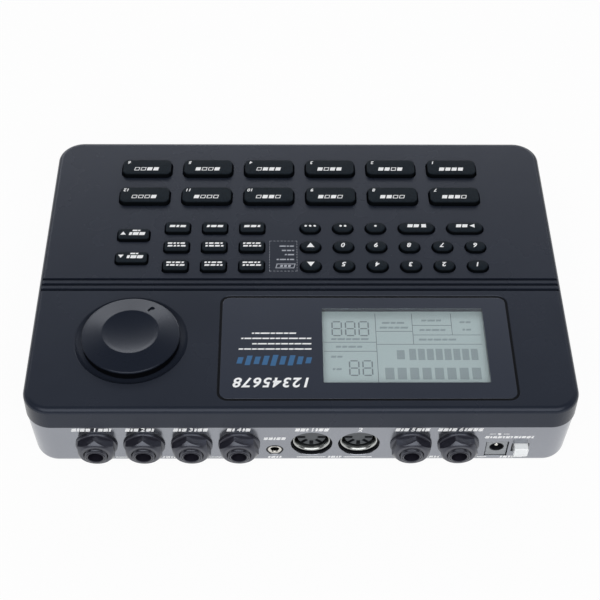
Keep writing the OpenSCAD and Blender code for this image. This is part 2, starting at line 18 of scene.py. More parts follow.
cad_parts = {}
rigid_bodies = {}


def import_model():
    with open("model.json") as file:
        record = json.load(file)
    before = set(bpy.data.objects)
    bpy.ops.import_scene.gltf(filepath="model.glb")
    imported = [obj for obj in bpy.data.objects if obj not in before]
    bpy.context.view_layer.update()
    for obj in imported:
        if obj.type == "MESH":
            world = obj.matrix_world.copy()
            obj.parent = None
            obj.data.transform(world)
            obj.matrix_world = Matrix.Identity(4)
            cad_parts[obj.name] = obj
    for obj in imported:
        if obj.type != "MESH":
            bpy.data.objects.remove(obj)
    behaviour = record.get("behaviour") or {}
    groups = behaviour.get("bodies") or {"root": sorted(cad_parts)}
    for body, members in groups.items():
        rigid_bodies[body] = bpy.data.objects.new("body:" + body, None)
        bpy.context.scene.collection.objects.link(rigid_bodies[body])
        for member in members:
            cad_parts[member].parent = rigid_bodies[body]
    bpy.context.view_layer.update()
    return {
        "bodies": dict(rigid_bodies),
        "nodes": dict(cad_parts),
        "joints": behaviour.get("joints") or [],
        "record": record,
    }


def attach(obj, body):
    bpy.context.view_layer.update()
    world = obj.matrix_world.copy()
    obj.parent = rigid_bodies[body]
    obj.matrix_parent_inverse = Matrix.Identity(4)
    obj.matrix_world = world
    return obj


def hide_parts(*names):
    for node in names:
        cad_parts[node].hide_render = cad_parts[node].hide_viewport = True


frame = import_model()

MM = 0.001

# %% [markdown]
# ## Measuring what is there
#
# The deck leans towards the player. The wheel turns about an axis square to the deck, so that joint gives both the
# slope and one point of the deck. All keys, the lens and the wheel are measured and drawn in the deck's own plane,
# where they are upright: u to the player's right, v to the rear, w up out of the deck.

# %% The deck's plane, and how to measure in it
wheel_joint = next(joint for joint in frame["joints"] if joint["child"] == "wheel")
slope = atan2(-wheel_joint["axis"][1], wheel_joint["axis"][2])


def measured(node, view=Matrix.Identity(4), above=None):
    """Lowest and highest corner of a node in mm, seen from another plane, if need be only above a height."""
    points = [view @ vertex.co / MM for vertex in frame["nodes"][node].data.vertices]
    if above is not None:
        points = [point for point in points if point.z > above]
    low = Vector([min(point[axis] for point in points) for axis in range(3)])
    high = Vector([max(point[axis] for point in points) for axis in range(3)])
    return low, high


leaning = Matrix.Translation(wheel_joint["pos_m"]) @ Matrix.Rotation(slope, 4, "X")
cover_low, cover_high = measured("top_cover", leaning.inverted())
deck_middle = Vector(((cover_low.x + cover_high.x) / 2, (cover_low.y + cover_high.y) / 2, cover_high.z)) * MM
DECK = leaning @ Matrix.Translation(deck_middle)
COVER_W = cover_high.x - cover_low.x
COVER_D = cover_high.y - cover_low.y
print(f"deck {COVER_W:.1f} by {COVER_D:.1f} mm, sloping {degrees(slope):.1f} degrees")


# %% The socket panel's plane
case_low, case_high = measured("bottom_case")
PANEL_Y = case_high.y


def on_panel(x, z, out=0.0):
    """A place on the socket panel, in mm: its +Z points out of the panel, its +X to the world's +X."""
    return Matrix.Translation(Vector((x, PANEL_Y + out, z)) * MM) @ Matrix.Rotation(-pi / 2, 4, "X")


def mount_place(name):
    """x and z of a socket's axis, in mm, from the record's mounts."""
    place = next(mount for mount in frame["record"]["mounts"] if mount["name"] == name)["pos_m"]
    return place[0] / MM, place[2] / MM


jack_places = [mount_place(f"audio_socket_{i + 1}") for i in range(6)]
din_places = [mount_place(f"round_socket_{i + 1}") for i in range(2)]
mini_place = mount_place("mini_socket")
inlet_place = mount_place("power_inlet")
print(f"socket panel at y {PANEL_Y:.2f} mm with {len(jack_places)} large and {len(din_places)} round sockets")

# %% [markdown]
# ## Drawing tools
#
# Nearly every piece is one of two solids: a loft, which joins a stack of outlines, or a lathe, which is a loft whose
# outlines are circles. Round edges come from a few extra outlines that draw in along an arc, so that light runs over
# them in a soft line. Openings are carved with a Boolean, and the cutter's mouth is flared to leave a small chamfer.

# %% Outlines
CORNER_STEPS = 12
ROUND_STEPS = 96


def outline(width, depth, radius, steps=CORNER_STEPS):
    """Points round a rectangle with round corners, counter-clockwise."""
    radius = max(radius, 0.01)
    points = []
    for quarter, (side, end) in enumerate(((1, 1), (-1, 1), (-1, -1), (1, -1))):
        for step in range(steps + 1):
            angle = pi / 2 * (quarter + step / steps)
            points.append((side * (width / 2 - radius) + radius * cos(angle),
                           end * (depth / 2 - radius) + radius * sin(angle)))
    return points


def circle(radius, steps=ROUND_STEPS):
    """Points round a circle."""
    return [(radius * cos(tau * i / steps), radius * sin(tau * i / steps)) for i in range(steps)]


def lifted(points, height):
    """Flat points at a height."""
    return [(x, y, height) for x, y in points]


def round_edge(reach, rise=None, steps=5):
    """How far a round edge has drawn in, and how far it has risen, from upright to flat."""
    rise = reach if rise is None else rise
    turns = [pi / 2 * i / steps for i in range(steps + 1)]
    return [(reach * (1 - cos(turn)), rise * sin(turn)) for turn in turns]


print("outline of a pad:", len(outline(24, 10, 2.6)), "points")


# %% Solids
def loft(rings, closed=False):
    """A solid through a stack of rings, with a lid at each end, or closed into a ring shape."""
    shape = bmesh.new()
    loops = [[shape.verts.new(point) for point in ring] for ring in rings]
    for low, high in zip(loops, loops[1:] + loops[:1] if closed else loops[1:]):
        for i in range(len(low)):
            j = (i + 1) % len(low)
            shape.faces.new((low[i], low[j], high[j], high[i]))
    if not closed:
        shape.faces.new(reversed(loops[0]))
        shape.faces.new(loops[-1])
    return shape


def lathe(profile, steps=ROUND_STEPS, closed=False):
    """A turned solid from (radius, height) points."""
    return loft([lifted(circle(radius, steps), height) for radius, height in profile], closed)


def slab(width, depth, radius, low, high, edge=0.0, steps=CORNER_STEPS):
    """A plate with round corners and, if edge is given, a round upper edge."""
    rings = [lifted(outline(width, depth, radius, steps), low)]
    for inset, rise in round_edge(edge) if edge else [(0, 0)]:
        rings.append(lifted(outline(width - 2 * inset, depth - 2 * inset, radius - inset, steps),
                            high - edge + rise))
    return loft(rings)


def prism(points, low, high):
    """A flat outline given a thickness."""
    return loft([lifted(points, low), lifted(points, high)])


def moved(shape, x=0.0, y=0.0, z=0.0, turn=0.0):
    """The same shape in another place, turned about its own upright axis, in degrees."""
    shape.transform(Matrix.Translation((x, y, z)) @ Matrix.Rotation(radians(turn), 4, "Z"))
    return shape


def together(shapes):
    """Several shapes as one."""
    whole = bmesh.new()
    for shape in shapes:
        mesh = bpy.data.meshes.new("part")
        shape.to_mesh(mesh)
        shape.free()
        whole.from_mesh(mesh)
        bpy.data.meshes.remove(mesh)
    return whole


print("a lathe's ring has", ROUND_STEPS, "points")


# %% Carving
def in_scene(name, data):
    """An object made of the data, placed in the scene."""
    made = bpy.data.objects.new(name, data)
    bpy.context.scene.collection.objects.link(made)
    return made


def carve(shape, cutter, operation="DIFFERENCE"):
    """The shape with the cutter taken out or joined to it, or only what both share."""
    blanks = []
    for part in (shape, cutter):
        bmesh.ops.recalc_face_normals(part, faces=part.faces)
        mesh = bpy.data.meshes.new("blank")
        part.to_mesh(mesh)
        part.free()
        blanks.append(in_scene("blank", mesh))
    boolean = blanks[0].modifiers.new("carve", "BOOLEAN")
    boolean.operation = operation
    boolean.solver = "EXACT"
    boolean.object = blanks[1]
    depsgraph = bpy.context.evaluated_depsgraph_get()
    carved = bpy.data.meshes.new_from_object(blanks[0].evaluated_get(depsgraph))
    result = bmesh.new()
    result.from_mesh(carved)
    for mesh in [blank.data for blank in blanks] + [carved]:
        bpy.data.meshes.remove(mesh)
    return result


def piece(name, shape, material, place=DECK, body="case", stands_for=(), sharp=32):
    """A finished object: the shape in its place, smooth apart from its real edges, riding on a body."""
    bmesh.ops.recalc_face_normals(shape, faces=shape.faces)
    shape.transform(place @ Matrix.Scale(MM, 4))
    mesh = bpy.data.meshes.new(name)
    shape.to_mesh(mesh)
    shape.free()
    mesh.shade_smooth()
    mesh.set_sharp_from_angle(angle=radians(sharp))
    mesh.materials.append(material)
    made = in_scene(name, mesh)
    even = made.modifiers.new("even shading", "WEIGHTED_NORMAL")
    even.keep_sharp = True
    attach(made, body)
    if stands_for:
        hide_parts(*stands_for)
    return made


print("carving and finishing are ready")

# %% [markdown]
# ## Finishes
#
# Plastic never looks like a single colour. A moulded cover has a fine spark-eroded grain, its tone drifts a little
# over the surface, and fingers and cleaning leave it a touch shinier in places. Three effects are shared by many
# finishes, so each is a node group with its own values in every material: grain, drift, and speckle.


# %% Helpers for node trees
def plug(tree, node, values):
    """Fill a node's inputs: a socket, or a node's first output, is linked; anything else is a plain value."""
    for name, value in values.items():
        if isinstance(value, bpy.types.Node):
            value = value.outputs[0]
        if isinstance(value, bpy.types.NodeSocket):
            tree.links.new(value, node.inputs[name])
        else:
            node.inputs[name].default_value = value
    return node


def add(tree, kind, values=(), **settings):
    """A node with its settings and its inputs."""
    node = tree.nodes.new("ShaderNode" + kind)
    for name, value in settings.items():
        setattr(node, name, value)
    return plug(tree, node, dict(values))


def scaled(tree, vector, scale):
    return add(tree, "VectorMath", {"Vector": vector, "Scale": scale}, operation="SCALE")


def effect(name, inputs, outputs):
    """An empty node group with named sockets: its tree, what comes in, and the node for what goes out."""
    tree = bpy.data.node_groups.new(name, "ShaderNodeTree")
    for label, kind, value in inputs:
        socket = tree.interface.new_socket(name=label, in_out="INPUT", socket_type="NodeSocket" + kind)
        socket.default_value = value
    for label, kind in outputs:
        tree.interface.new_socket(name=label, in_out="OUTPUT", socket_type="NodeSocket" + kind)
    return tree, tree.nodes.new("NodeGroupInput").outputs, tree.nodes.new("NodeGroupOutput")


def linear(red, green, blue):
    """A colour as it looks on a screen, 0 to 255, as the light values that a shader takes."""
    parts = [value / 255 for value in (red, green, blue)]
    return tuple(v / 12.92 if v <= 0.04045 else ((v + 0.055) / 1.055) ** 2.4 for v in parts) + (1.0,)


print("mid grey as light:", round(linear(119, 119, 119)[0], 3))


# %% Grain: the fine texture of a mould or of rubber
def build_grain():
    tree, into, out = effect("moulded_grain", [("Grains per Metre", "Float", 2500.0), ("Depth", "Float", 0.00002)],
                             [("Normal", "Vector")])
    noise = add(tree, "TexNoise", {"Vector": add(tree, "TexCoord").outputs["Object"],
                                   "Scale": into["Grains per Metre"], "Detail": 3.0, "Roughness": 0.65})
    bump = add(tree, "Bump", {"Strength": 1.0, "Distance": into["Depth"], "Height": noise})
    plug(tree, out, {"Normal": bump})
    return tree


GRAIN = build_grain()
print("effect:", GRAIN.name)


# %% Drift: slow change of tone and shine over a moulding
def build_drift():
    tree, into, out = effect(
        "tone_drift",
        [("Color", "Color", (0.5, 0.5, 0.5, 1.0)), ("Amount", "Float", 0.1), ("Roughness", "Float", 0.4),
         ("Patches per Metre", "Float", 25.0)],
        [("Color", "Color"), ("Roughness", "Float")])
    noise = add(tree, "TexNoise", {"Vector": add(tree, "TexCoord").outputs["Object"],
                                   "Scale": into["Patches per Metre"], "Detail": 4.0, "Roughness": 0.55})
    swing = add(tree, "MapRange", {"Value": noise, "From Min": 0.3, "From Max": 0.7,
                                   "To Min": -1.0, "To Max": 1.0})
    level = add(tree, "Math", {0: swing, 1: into["Amount"], 2: 1.0}, operation="MULTIPLY_ADD")
    tone = scaled(tree, into["Color"], level)
    shine = add(tree, "Math", {0: into["Roughness"], 1: level}, operation="MULTIPLY")
    plug(tree, out, {"Color": tone, "Roughness": shine})
    return tree


DRIFT = build_drift()
print("effect:", DRIFT.name)


# %% Speckle: light grains in rubber and ink
def build_speckle():
    tree, into, out = effect(
        "speckle",
        [("Color", "Color", (0.5, 0.5, 0.5, 1.0)), ("Specks per Metre", "Float", 3000.0), ("Contrast", "Float", 0.3)],
        [("Color", "Color")])
    cells = add(tree, "TexVoronoi", {"Vector": add(tree, "TexCoord").outputs["Object"],
                                     "Scale": into["Specks per Metre"], "Randomness": 1.0})
    swing = add(tree, "MapRange", {"Value": cells, "To Min": 1.0, "To Max": -1.0})
    level = add(tree, "Math", {0: swing, 1: into["Contrast"], 2: 1.0}, operation="MULTIPLY_ADD")
    tone = scaled(tree, into["Color"], level)
    plug(tree, out, {"Color": tone})
    return tree


SPECKLE = build_speckle()
print("effect:", SPECKLE.name)


# %% One recipe for all the finishes
def finish(name, color, roughness, grains=2500.0, depth=0.00001, drift=0.08, patches=25.0, contrast=0.0,
           **shader_values):
    """A Principled material with grain, drift and, if contrast is given, speckle.

    The colour is written as on a screen. Grains and patches are counts per metre, the grain's depth is in metres,
    and drift and contrast are shares of the tone.
    """
    material = bpy.data.materials.new(name)
    material.use_nodes = True
    tree = material.node_tree
    toned = add(tree, "Group", {"Color": linear(*color), "Amount": drift, "Roughness": roughness,
                                "Patches per Metre": patches}, node_tree=DRIFT)
    grain = add(tree, "Group", {"Grains per Metre": grains, "Depth": depth}, node_tree=GRAIN)
    tint = toned.outputs["Color"]
    if contrast:
        tint = add(tree, "Group", {"Color": tint, "Specks per Metre": grains / 2, "Contrast": contrast},
                   node_tree=SPECKLE).outputs["Color"]
    values = {socket.replace("_", " "): value for socket, value in shader_values.items()}
    plug(tree, tree.nodes["Principled BSDF"], values | {
        "Base Color": tint, "Roughness": toned.outputs["Roughness"], "Normal": grain.outputs["Normal"]})
    return material


COOL_SHINE = (0.8, 0.86, 1.0, 1.0)
COVER_PLASTIC = finish("cover_plastic", (34, 39, 50), 0.27, 3200.0, 0.000006, 0.05, Specular_IOR_Level=0.3,
                       Specular_Tint=COOL_SHINE)
CASE_LACQUER = finish("case_lacquer", (149, 152, 159), 0.2, 900.0, 0.000004, 0.04, Metallic=0.92)
LENS_SMOKE = finish("lens_smoke", (45, 50, 62), 0.14, 300.0, 0.000001, 0.04, Coat_Weight=0.3, Coat_Roughness=0.05,
                    Specular_Tint=COOL_SHINE)
WINDOW_CLEAR = finish("window_clear", (200, 206, 208), 0.04, 300.0, 0.000001, 0.02, Alpha=0.06)
KEY_RUBBER = finish("key_rubber", (20, 29, 37), 0.6, 2600.0, 0.00005, 0.06, contrast=0.35, Specular_IOR_Level=0.1)
WHEEL_PLASTIC = finish("wheel_plastic", (27, 32, 43), 0.28, 4200.0, 0.000006, 0.05, Specular_IOR_Level=0.28,
                       Specular_Tint=COOL_SHINE)
SOCKET_BLACK = finish("socket_black", (24, 25, 29), 0.34, Specular_IOR_Level=0.3)
# Near-black: the round sockets' housings in their own black, and painted shade in the lens gap, under the wheel's lip
# and at the foot of the socket slots.
BLACK_AND_PAINTED_SHADE = finish("black_and_painted_shade", (5, 6, 9), 0.55, Specular_IOR_Level=0.1, Specular_Tint=COOL_SHINE)
NUT_BLACK = finish("nut_black", (32, 31, 40), 0.3, 2200.0, drift=0.1, Specular_IOR_Level=0.9,
                   Specular_Tint=COOL_SHINE, Coat_Weight=0.22, Coat_Roughness=0.22)
CORE_GREY = finish("core_grey", (76, 80, 84), 0.4)
SHIELD_METAL = finish("shield_metal", (186, 188, 186), 0.24, 1500.0, 0.000006, Metallic=1.0)
NICKEL = finish("nickel", (214, 212, 206), 0.16, 1500.0, 0.000003, Metallic=1.0)
STEEL = finish("steel", (150, 151, 154), 0.34, 1800.0, Metallic=1.0)
SCREW_BLACK = finish("screw_black", (52, 52, 55), 0.38, 1800.0, Metallic=0.9)
BUTTON_WHITE = finish("button_white", (247, 250, 251), 0.28, 900.0, 0.000003, 0.02, Coat_Weight=0.3)
INLET_GREY = finish("inlet_grey", (146, 150, 154), 0.4, 1800.0, drift=0.05)
BOARD_GREEN = finish("board_green", (24, 82, 44), 0.4, 900.0, drift=0.15, patches=60.0)
MAT_RUBBER = finish("mat_rubber", (28, 34, 38), 0.6, 1500.0, 0.00003)
FOOT_RUBBER = finish("foot_rubber", (22, 22, 23), 0.7, 1800.0, 0.00005, 0.12, contrast=0.2)
DISPLAY_FACE = finish("display_face", (178, 196, 198), 0.32, 700.0, 0.000002, 0.02, Coat_Weight=0.4)
WHITE_INK = finish("white_ink", (246, 247, 248), 0.5, 3000.0, 0.000006, 0.03, contrast=0.04)
GREY_INK = finish("grey_ink", (168, 172, 182), 0.5, 3000.0, 0.000006, 0.03, contrast=0.04)
BLUE_INK = finish("blue_ink", (34, 94, 142), 0.45, 3000.0, 0.000006, 0.04, contrast=0.06)
SEGMENT_INK = finish("segment_ink", (112, 124, 130), 0.4, 900.0, 0.000002, 0.03)
FAINT_INK = finish("faint_ink", (140, 156, 160), 0.4, 900.0, 0.000002, 0.03)
DIVIDER_INK = finish("divider_ink", (96, 104, 110), 0.4, 900.0, 0.000002, 0.03)
print("finishes:", len(bpy.data.materials))


# %% Painted shade: the caps' walls are darker than their tops
PAINTED_WALL_SHADE = 0.2
WALL_TO_TOP = (0.4, 0.95)


def shade_sides(material):
    """Darken the walls of a cap by how upright they are, as painted shade for the shade of their opening."""
    tree = material.node_tree
    shader = tree.nodes["Principled BSDF"]
    facing = add(tree, "SeparateXYZ", {0: add(tree, "TexCoord").outputs["Normal"]})
    level = add(tree, "MapRange", {"Value": facing.outputs["Z"], "From Min": WALL_TO_TOP[0],
                                   "From Max": WALL_TO_TOP[1], "To Min": PAINTED_WALL_SHADE, "To Max": 1.0})
    tint = shader.inputs["Base Color"].links[0].from_socket
    plug(tree, shader, {"Base Color": scaled(tree, tint, level)})


shade_sides(KEY_RUBBER)
print("darker sides:", KEY_RUBBER.name)

# %% [markdown]
# ## The top cover
#
# The cover is a tray turned upside down: a flat deck, a small round edge and a skirt that ends at the seam. It is one
# loft that runs from the inside of the deck down the inner wall, round the lip and up the outer wall. Everything that
# sits in the deck then gets its opening, each with a flared mouth, because a moulded edge is never razor sharp.

# %% The cover's shell
CORNER_R = 12.0
SHELL_STEPS = 20
EDGE_R = 2.6
SKIRT_H = 12.0
WALL = 2.5
LIP_R = 0.35


def cover_shell():
    def ring(inset, height):
        return lifted(outline(COVER_W - 2 * inset, COVER_D - 2 * inset, CORNER_R - inset, SHELL_STEPS), height)

    rings = [ring(WALL, -WALL), ring(WALL, -SKIRT_H), ring(LIP_R, -SKIRT_H)]
    rings += [ring(LIP_R * (1 - sin(turn)), -SKIRT_H + LIP_R * (1 - cos(turn)))
              for turn in (pi / 6, pi / 3, pi / 2)]
    rings += [ring(inset, rise - EDGE_R) for inset, rise in round_edge(EDGE_R, steps=10)]
    return loft(rings)


print("cover shell:", len(cover_shell().verts), "points")

# %% Cutters for the keys
KEY_GAP = 0.5
FLARE = 0.22
CAP_RADII = {"pad": 2.6, "function": 1.3, "key_tempo": 1.3}
KEY_NAMES = [body for body in frame["bodies"] if body not in ("case", "wheel", "power")]


def key_box(name):
    """Middle, size and height of a key's cap, in the deck's plane, and the height of its flange's underside."""
    flange_low, _ = measured(name, DECK.inverted())
    low, high = measured(name, DECK.inverted(), above=0.0)
    return (low + high) / 2, high - low, high.z, flange_low.z


def key_kind(name):
    return next((kind for kind in CAP_RADII if name.startswith(kind)), "round")


def cap_radius(name, depth):
    """Corner radius of a key's cap: pads are softly cornered, function keys tight, the rest have round ends."""
    return CAP_RADII.get(key_kind(name), depth / 2)


def flared_opening(width, depth, radius, gap, bottom):
    """A cutter with a gap all round a piece, whose mouth opens in a small chamfer."""
    return loft([lifted(outline(width + 2 * reach, depth + 2 * reach, radius + reach), height)
                 for height, reach in ((bottom, gap), (-FLARE, gap), (0, gap + FLARE), (1, gap + FLARE))])


def key_opening(name):
    middle, size, _, _ = key_box(name)
    opening = flared_opening(size.x, size.y, cap_radius(name, size.y), KEY_GAP, -WALL - 1)
    return moved(opening, middle.x, middle.y)


print("keys and pads:", len(KEY_NAMES))

# %% Cutters for the grooves, the lens, the window and the wheel
GROOVE_W = 1.3
GROOVE_DEPTH = 1.7
GROOVE_END = 1.3
GROOVE_V = [9.1, 12.3, 15.5]
SHARP_LIP = 0.03
LENS_PLAY = 1.05
LENS_RISE = 0.08
LENS_R = 3.5
WINDOW_R = 0.4
RECESS_R = 24.7
RECESS_DEPTH = 1.5
WINDOW_U, WINDOW_V, WINDOW_W, WINDOW_D = -45.1, 48.0, 71.4, 42.6


def groove_cutter(v):
    """A trough whose rear mouth is flared and whose front mouth is sharp."""
    wall = GROOVE_W / 2
    profile = [(-wall, -GROOVE_DEPTH), (wall, -GROOVE_DEPTH), (wall, -FLARE), (wall + FLARE, 0.02), (wall + FLARE, 1),
               (-wall - SHARP_LIP, 1), (-wall - SHARP_LIP, 0.02), (-wall, -SHARP_LIP)]
    ends = (-COVER_W / 2 + GROOVE_END, COVER_W / 2 - GROOVE_END)
    return loft([[(u, v + across, height) for across, height in profile] for u in ends])


lens_low, lens_high = measured("display_lens", DECK.inverted())
lens_high.z += LENS_RISE
lens_middle = (lens_low + lens_high) / 2
lens_size = (lens_high.x - lens_low.x, lens_high.y - lens_low.y)
wheel_low, wheel_high = measured("data_wheel", DECK.inverted())
wheel_middle = (wheel_low + wheel_high) / 2
WHEEL_R = (wheel_high.x - wheel_low.x) / 2
wheel_ring = lathe([(WHEEL_R + 0.8, -RECESS_DEPTH), (RECESS_R - 0.3, -0.2), (RECESS_R + 0.1, -0.02),
                    (RECESS_R + 0.5, 0.03), (RECESS_R + 0.5, 1)])
print(f"wheel radius {WHEEL_R:.1f} mm, lens {lens_size[0]:.1f} mm wide")

# %% Carve the cover
lens_pocket = flared_opening(*lens_size, LENS_R, LENS_PLAY, lens_low.z)
window_hole = prism(outline(WINDOW_W, WINDOW_D, WINDOW_R), -WALL - 1, 1)
openings = [key_opening(name) for name in KEY_NAMES] + [groove_cutter(v) for v in GROOVE_V]
cover = carve(cover_shell(), together(openings))
for cutter, u, v in ((lens_pocket, lens_middle.x, lens_middle.y), (window_hole, WINDOW_U, WINDOW_V),
                     (wheel_ring, wheel_middle.x, wheel_middle.y)):
    cover = carve(cover, moved(cutter, u, v))
top_cover = piece("top_cover_shell", cover, COVER_PLASTIC, stands_for=["top_cover"])
print("top cover:", len(top_cover.data.polygons), "faces")

# %% [markdown]
# ## The bottom case
#
# The case is a wedge. Its floor is level, its rim follows the sloping seam, and its sides draw in a little towards
# the floor so that it leaves its mould. Each point of the floor's outline is joined to the same point of the rim's
# outline, which keeps the round corners clean. The lacquer is a metallic grey that mirrors the table.

# %% The case's shell
SEAM_INSET = 0.3
SIDE_DRAFT = 1.4
FLOOR_EDGE = 1.2
RIM_EDGE = 0.3
CASE_BASE = case_low.z
seam_front = DECK @ Vector((0, (-COVER_D / 2 + SEAM_INSET) * MM, -SKIRT_H * MM)) / MM
base_front = seam_front.y + SIDE_DRAFT
base_middle = (PANEL_Y + base_front) / 2
base_size = (COVER_W - 2 * (SEAM_INSET + SIDE_DRAFT), PANEL_Y - base_front)


def floor_ring(inset, height):
    points = outline(base_size[0] - 2 * inset, base_size[1] - 2 * inset, CORNER_R - SIDE_DRAFT - inset, SHELL_STEPS)
    return [Vector((x, y + base_middle, height)) for x, y in points]


def rim_ring(inset, drop):
    inset = inset + SEAM_INSET
    points = outline(COVER_W - 2 * inset, COVER_D - 2 * inset, CORNER_R - inset, SHELL_STEPS)
    return [DECK @ Vector((x * MM, y * MM, (-SKIRT_H - drop) * MM)) / MM for x, y in points]


def case_shell():
    wall_h = seam_front.z - CASE_BASE
    rings = [floor_ring(WALL, CASE_BASE + WALL), rim_ring(WALL, 0), rim_ring(RIM_EDGE, 0)]
    rings += [rim_ring(RIM_EDGE * (1 - sin(turn)), RIM_EDGE * (1 - cos(turn)))
              for turn in (pi / 4, pi / 2)]
    for step in range(6, -1, -1):
        turn = pi / 2 * step / 6
        inset, rise = FLOOR_EDGE * (1 - sin(turn)), FLOOR_EDGE * (1 - cos(turn))
        rings.append([low.lerp(high, rise / wall_h)
                      for low, high in zip(floor_ring(inset, CASE_BASE), rim_ring(inset, 0))])
    return loft(rings)


print("case shell:", len(case_shell().verts), "points")

# %% Holes in the socket panel
button_low, button_high = measured("power_button")
BUTTON_FLANGE = 0.9
button_size = (button_high.x - button_low.x - 2 * BUTTON_FLANGE, button_high.z - button_low.z - 2 * BUTTON_FLANGE)
button_place = ((button_low.x + button_high.x) / 2, (button_low.z + button_high.z) / 2)
BUTTON_PLAY = (1.2, 0.7)
BUTTON_ASIDE = 0.25
INLET_HOLE_W = 9.7
INLET_HOLE_H = 11.8
INLET_HOLE_Z = 11.7
DIN_HOLE_R = 8.95
MINI_HOLE_R = 3.7
JACK_HOLE_R = 4.85


def panel_cut(x, z, points, flare=0.15):
    """A hole through the panel with a small chamfer: points are the outline as (x, z) about its middle."""
    def ring(out, spread):
        return [(x + px * spread, PANEL_Y + out, z + pz * spread) for px, pz in points]
    reach = max(hypot(px, pz) for px, pz in points)
    wide = 1 + flare / reach
    return loft([ring(-WALL - 1, 1), ring(-flare, 1), ring(0, wide), ring(1, wide)])


def panel_holes():
    holes = [panel_cut(x, z, circle(JACK_HOLE_R, 48)) for x, z in jack_places]
    holes += [panel_cut(x, z, circle(DIN_HOLE_R)) for x, z in din_places]
    button_hole = [size + play for size, play in zip(button_size, BUTTON_PLAY)]
    return together(holes + [
        panel_cut(*mini_place, circle(MINI_HOLE_R, 48)),
        panel_cut(inlet_place[0], INLET_HOLE_Z, outline(INLET_HOLE_W, INLET_HOLE_H, 0.3, 3)),
        panel_cut(button_place[0] + BUTTON_ASIDE, button_place[1], outline(*button_hole, 0.3, 3))])


print("holes in the panel:", len(jack_places) + len(din_places) + 3)

# %% Carve the case
SCREW_X = COVER_W / 2 - 12
SCREW_Y = [base_front + 11, base_middle, PANEL_Y - 14]
SCREW_SEAT = 8.0
WELL_R = 3.2
BOSS_R = 4.2
BOSS_TOP = 13.5
FOOT_X = COVER_W / 2 - 23
FOOT_Y = [base_front + 22, PANEL_Y - 24]
FOOT_SEAT_R = 6.1


def both_sides(profile, steps, x, places):
    """The same turned shape at several places on the left and on the right of the machine."""
    return together([moved(lathe(profile, steps), side * x, y) for side in (-1, 1) for y in places])


WORLD = Matrix.Identity(4)
bosses = both_sides([(BOSS_R, CASE_BASE + WALL - 0.1), (BOSS_R, BOSS_TOP)], 48, SCREW_X, SCREW_Y)
wells = both_sides([(WELL_R + 0.3, CASE_BASE - 1), (WELL_R + 0.3, CASE_BASE), (WELL_R, CASE_BASE + 0.3),
                    (WELL_R, SCREW_SEAT)], 48, SCREW_X, SCREW_Y)
seats = both_sides([(FOOT_SEAT_R + 0.25, CASE_BASE - 1), (FOOT_SEAT_R + 0.25, CASE_BASE),
                    (FOOT_SEAT_R, CASE_BASE + 0.2), (FOOT_SEAT_R, CASE_BASE + 0.6)], 48, FOOT_X, FOOT_Y)
case = carve(carve(case_shell(), bosses, "UNION"), panel_holes())
case = carve(case, together([wells, seats]))
bottom_case = piece("bottom_case_shell", case, CASE_LACQUER, WORLD, stands_for=["bottom_case"])
print("bottom case:", len(bottom_case.data.polygons), "faces")

# %% [markdown]
# ## Lens and display
#
# The lens is a thin smoked plate, polished, that stands a hair proud of the deck. A near-black ring, painted shade,
# fills the gap round it and is what makes its dark outline. Its window is clear. The display glass lies well below
# it, so the deck's edge throws a soft shadow on the display's front. A display that is switched off still shows its
# segments and dividing lines, faintly, and these are printed shapes just off the glass.

# %% The lens and its window
LENS_EDGE = 0.2
GAP_SHADE_W = LENS_PLAY - 0.02
GAP_SHADE_TOP = -0.2
lens = moved(slab(*lens_size, LENS_R, lens_low.z, lens_high.z, LENS_EDGE), lens_middle.x, lens_middle.y)
lens = carve(lens, moved(prism(outline(WINDOW_W, WINDOW_D, WINDOW_R), -5, 5), WINDOW_U, WINDOW_V))
piece("lens_plate", lens, LENS_SMOKE, stands_for=["display_lens"])
# Painted shade: a near-black ring fills the gap round the lens and makes its dark outline.
gap_shade = slab(lens_size[0] + 2 * GAP_SHADE_W, lens_size[1] + 2 * GAP_SHADE_W, LENS_R + GAP_SHADE_W, lens_low.z, GAP_SHADE_TOP)
gap_shade = carve(gap_shade, prism(outline(lens_size[0] + 0.02, lens_size[1] + 0.02, LENS_R + 0.01), -5, 5))
piece("lens_gap_shade", moved(gap_shade, lens_middle.x, lens_middle.y), BLACK_AND_PAINTED_SHADE)
pane = slab(WINDOW_W - 0.02, WINDOW_D - 0.02, WINDOW_R, lens_low.z + 0.4, lens_high.z)
piece("lens_window", moved(pane, WINDOW_U, WINDOW_V), WINDOW_CLEAR)
print(f"lens {lens_size[0]:.1f} by {lens_size[1]:.1f} mm")

# %% The display glass
glass_low, glass_high = measured("display_panel", DECK.inverted())
glass_size = (glass_high.x - glass_low.x, glass_high.y - glass_low.y)
glass = moved(slab(*glass_size, 0.8, glass_low.z, glass_high.z, 0.2), WINDOW_U, WINDOW_V)
piece("display_glass", glass, DISPLAY_FACE, stands_for=["display_panel"])
print(f"display glass {glass_size[0]:.1f} by {glass_size[1]:.1f} mm")

# %% [markdown]
# ## The data wheel
#
# The wheel is turned: a short upright lip, a ring that climbs to the rim of the finger dish, and the dish itself. A
# near-black skirt stands back under the lip as painted shade, so the wheel seems to float over its shade. A little
# pointer is let into the ring. It is the only thing that shows how the wheel stands.

# %% Turn the wheel
WHEEL_STEPS = 144
EDGE_H = 3.6
RIM_H = wheel_high.z
WHEEL_EDGE_R = 0.9
DISH_R = 12.2
DISH_DEPTH = 1.2
SKIRT_TOP = 2.4


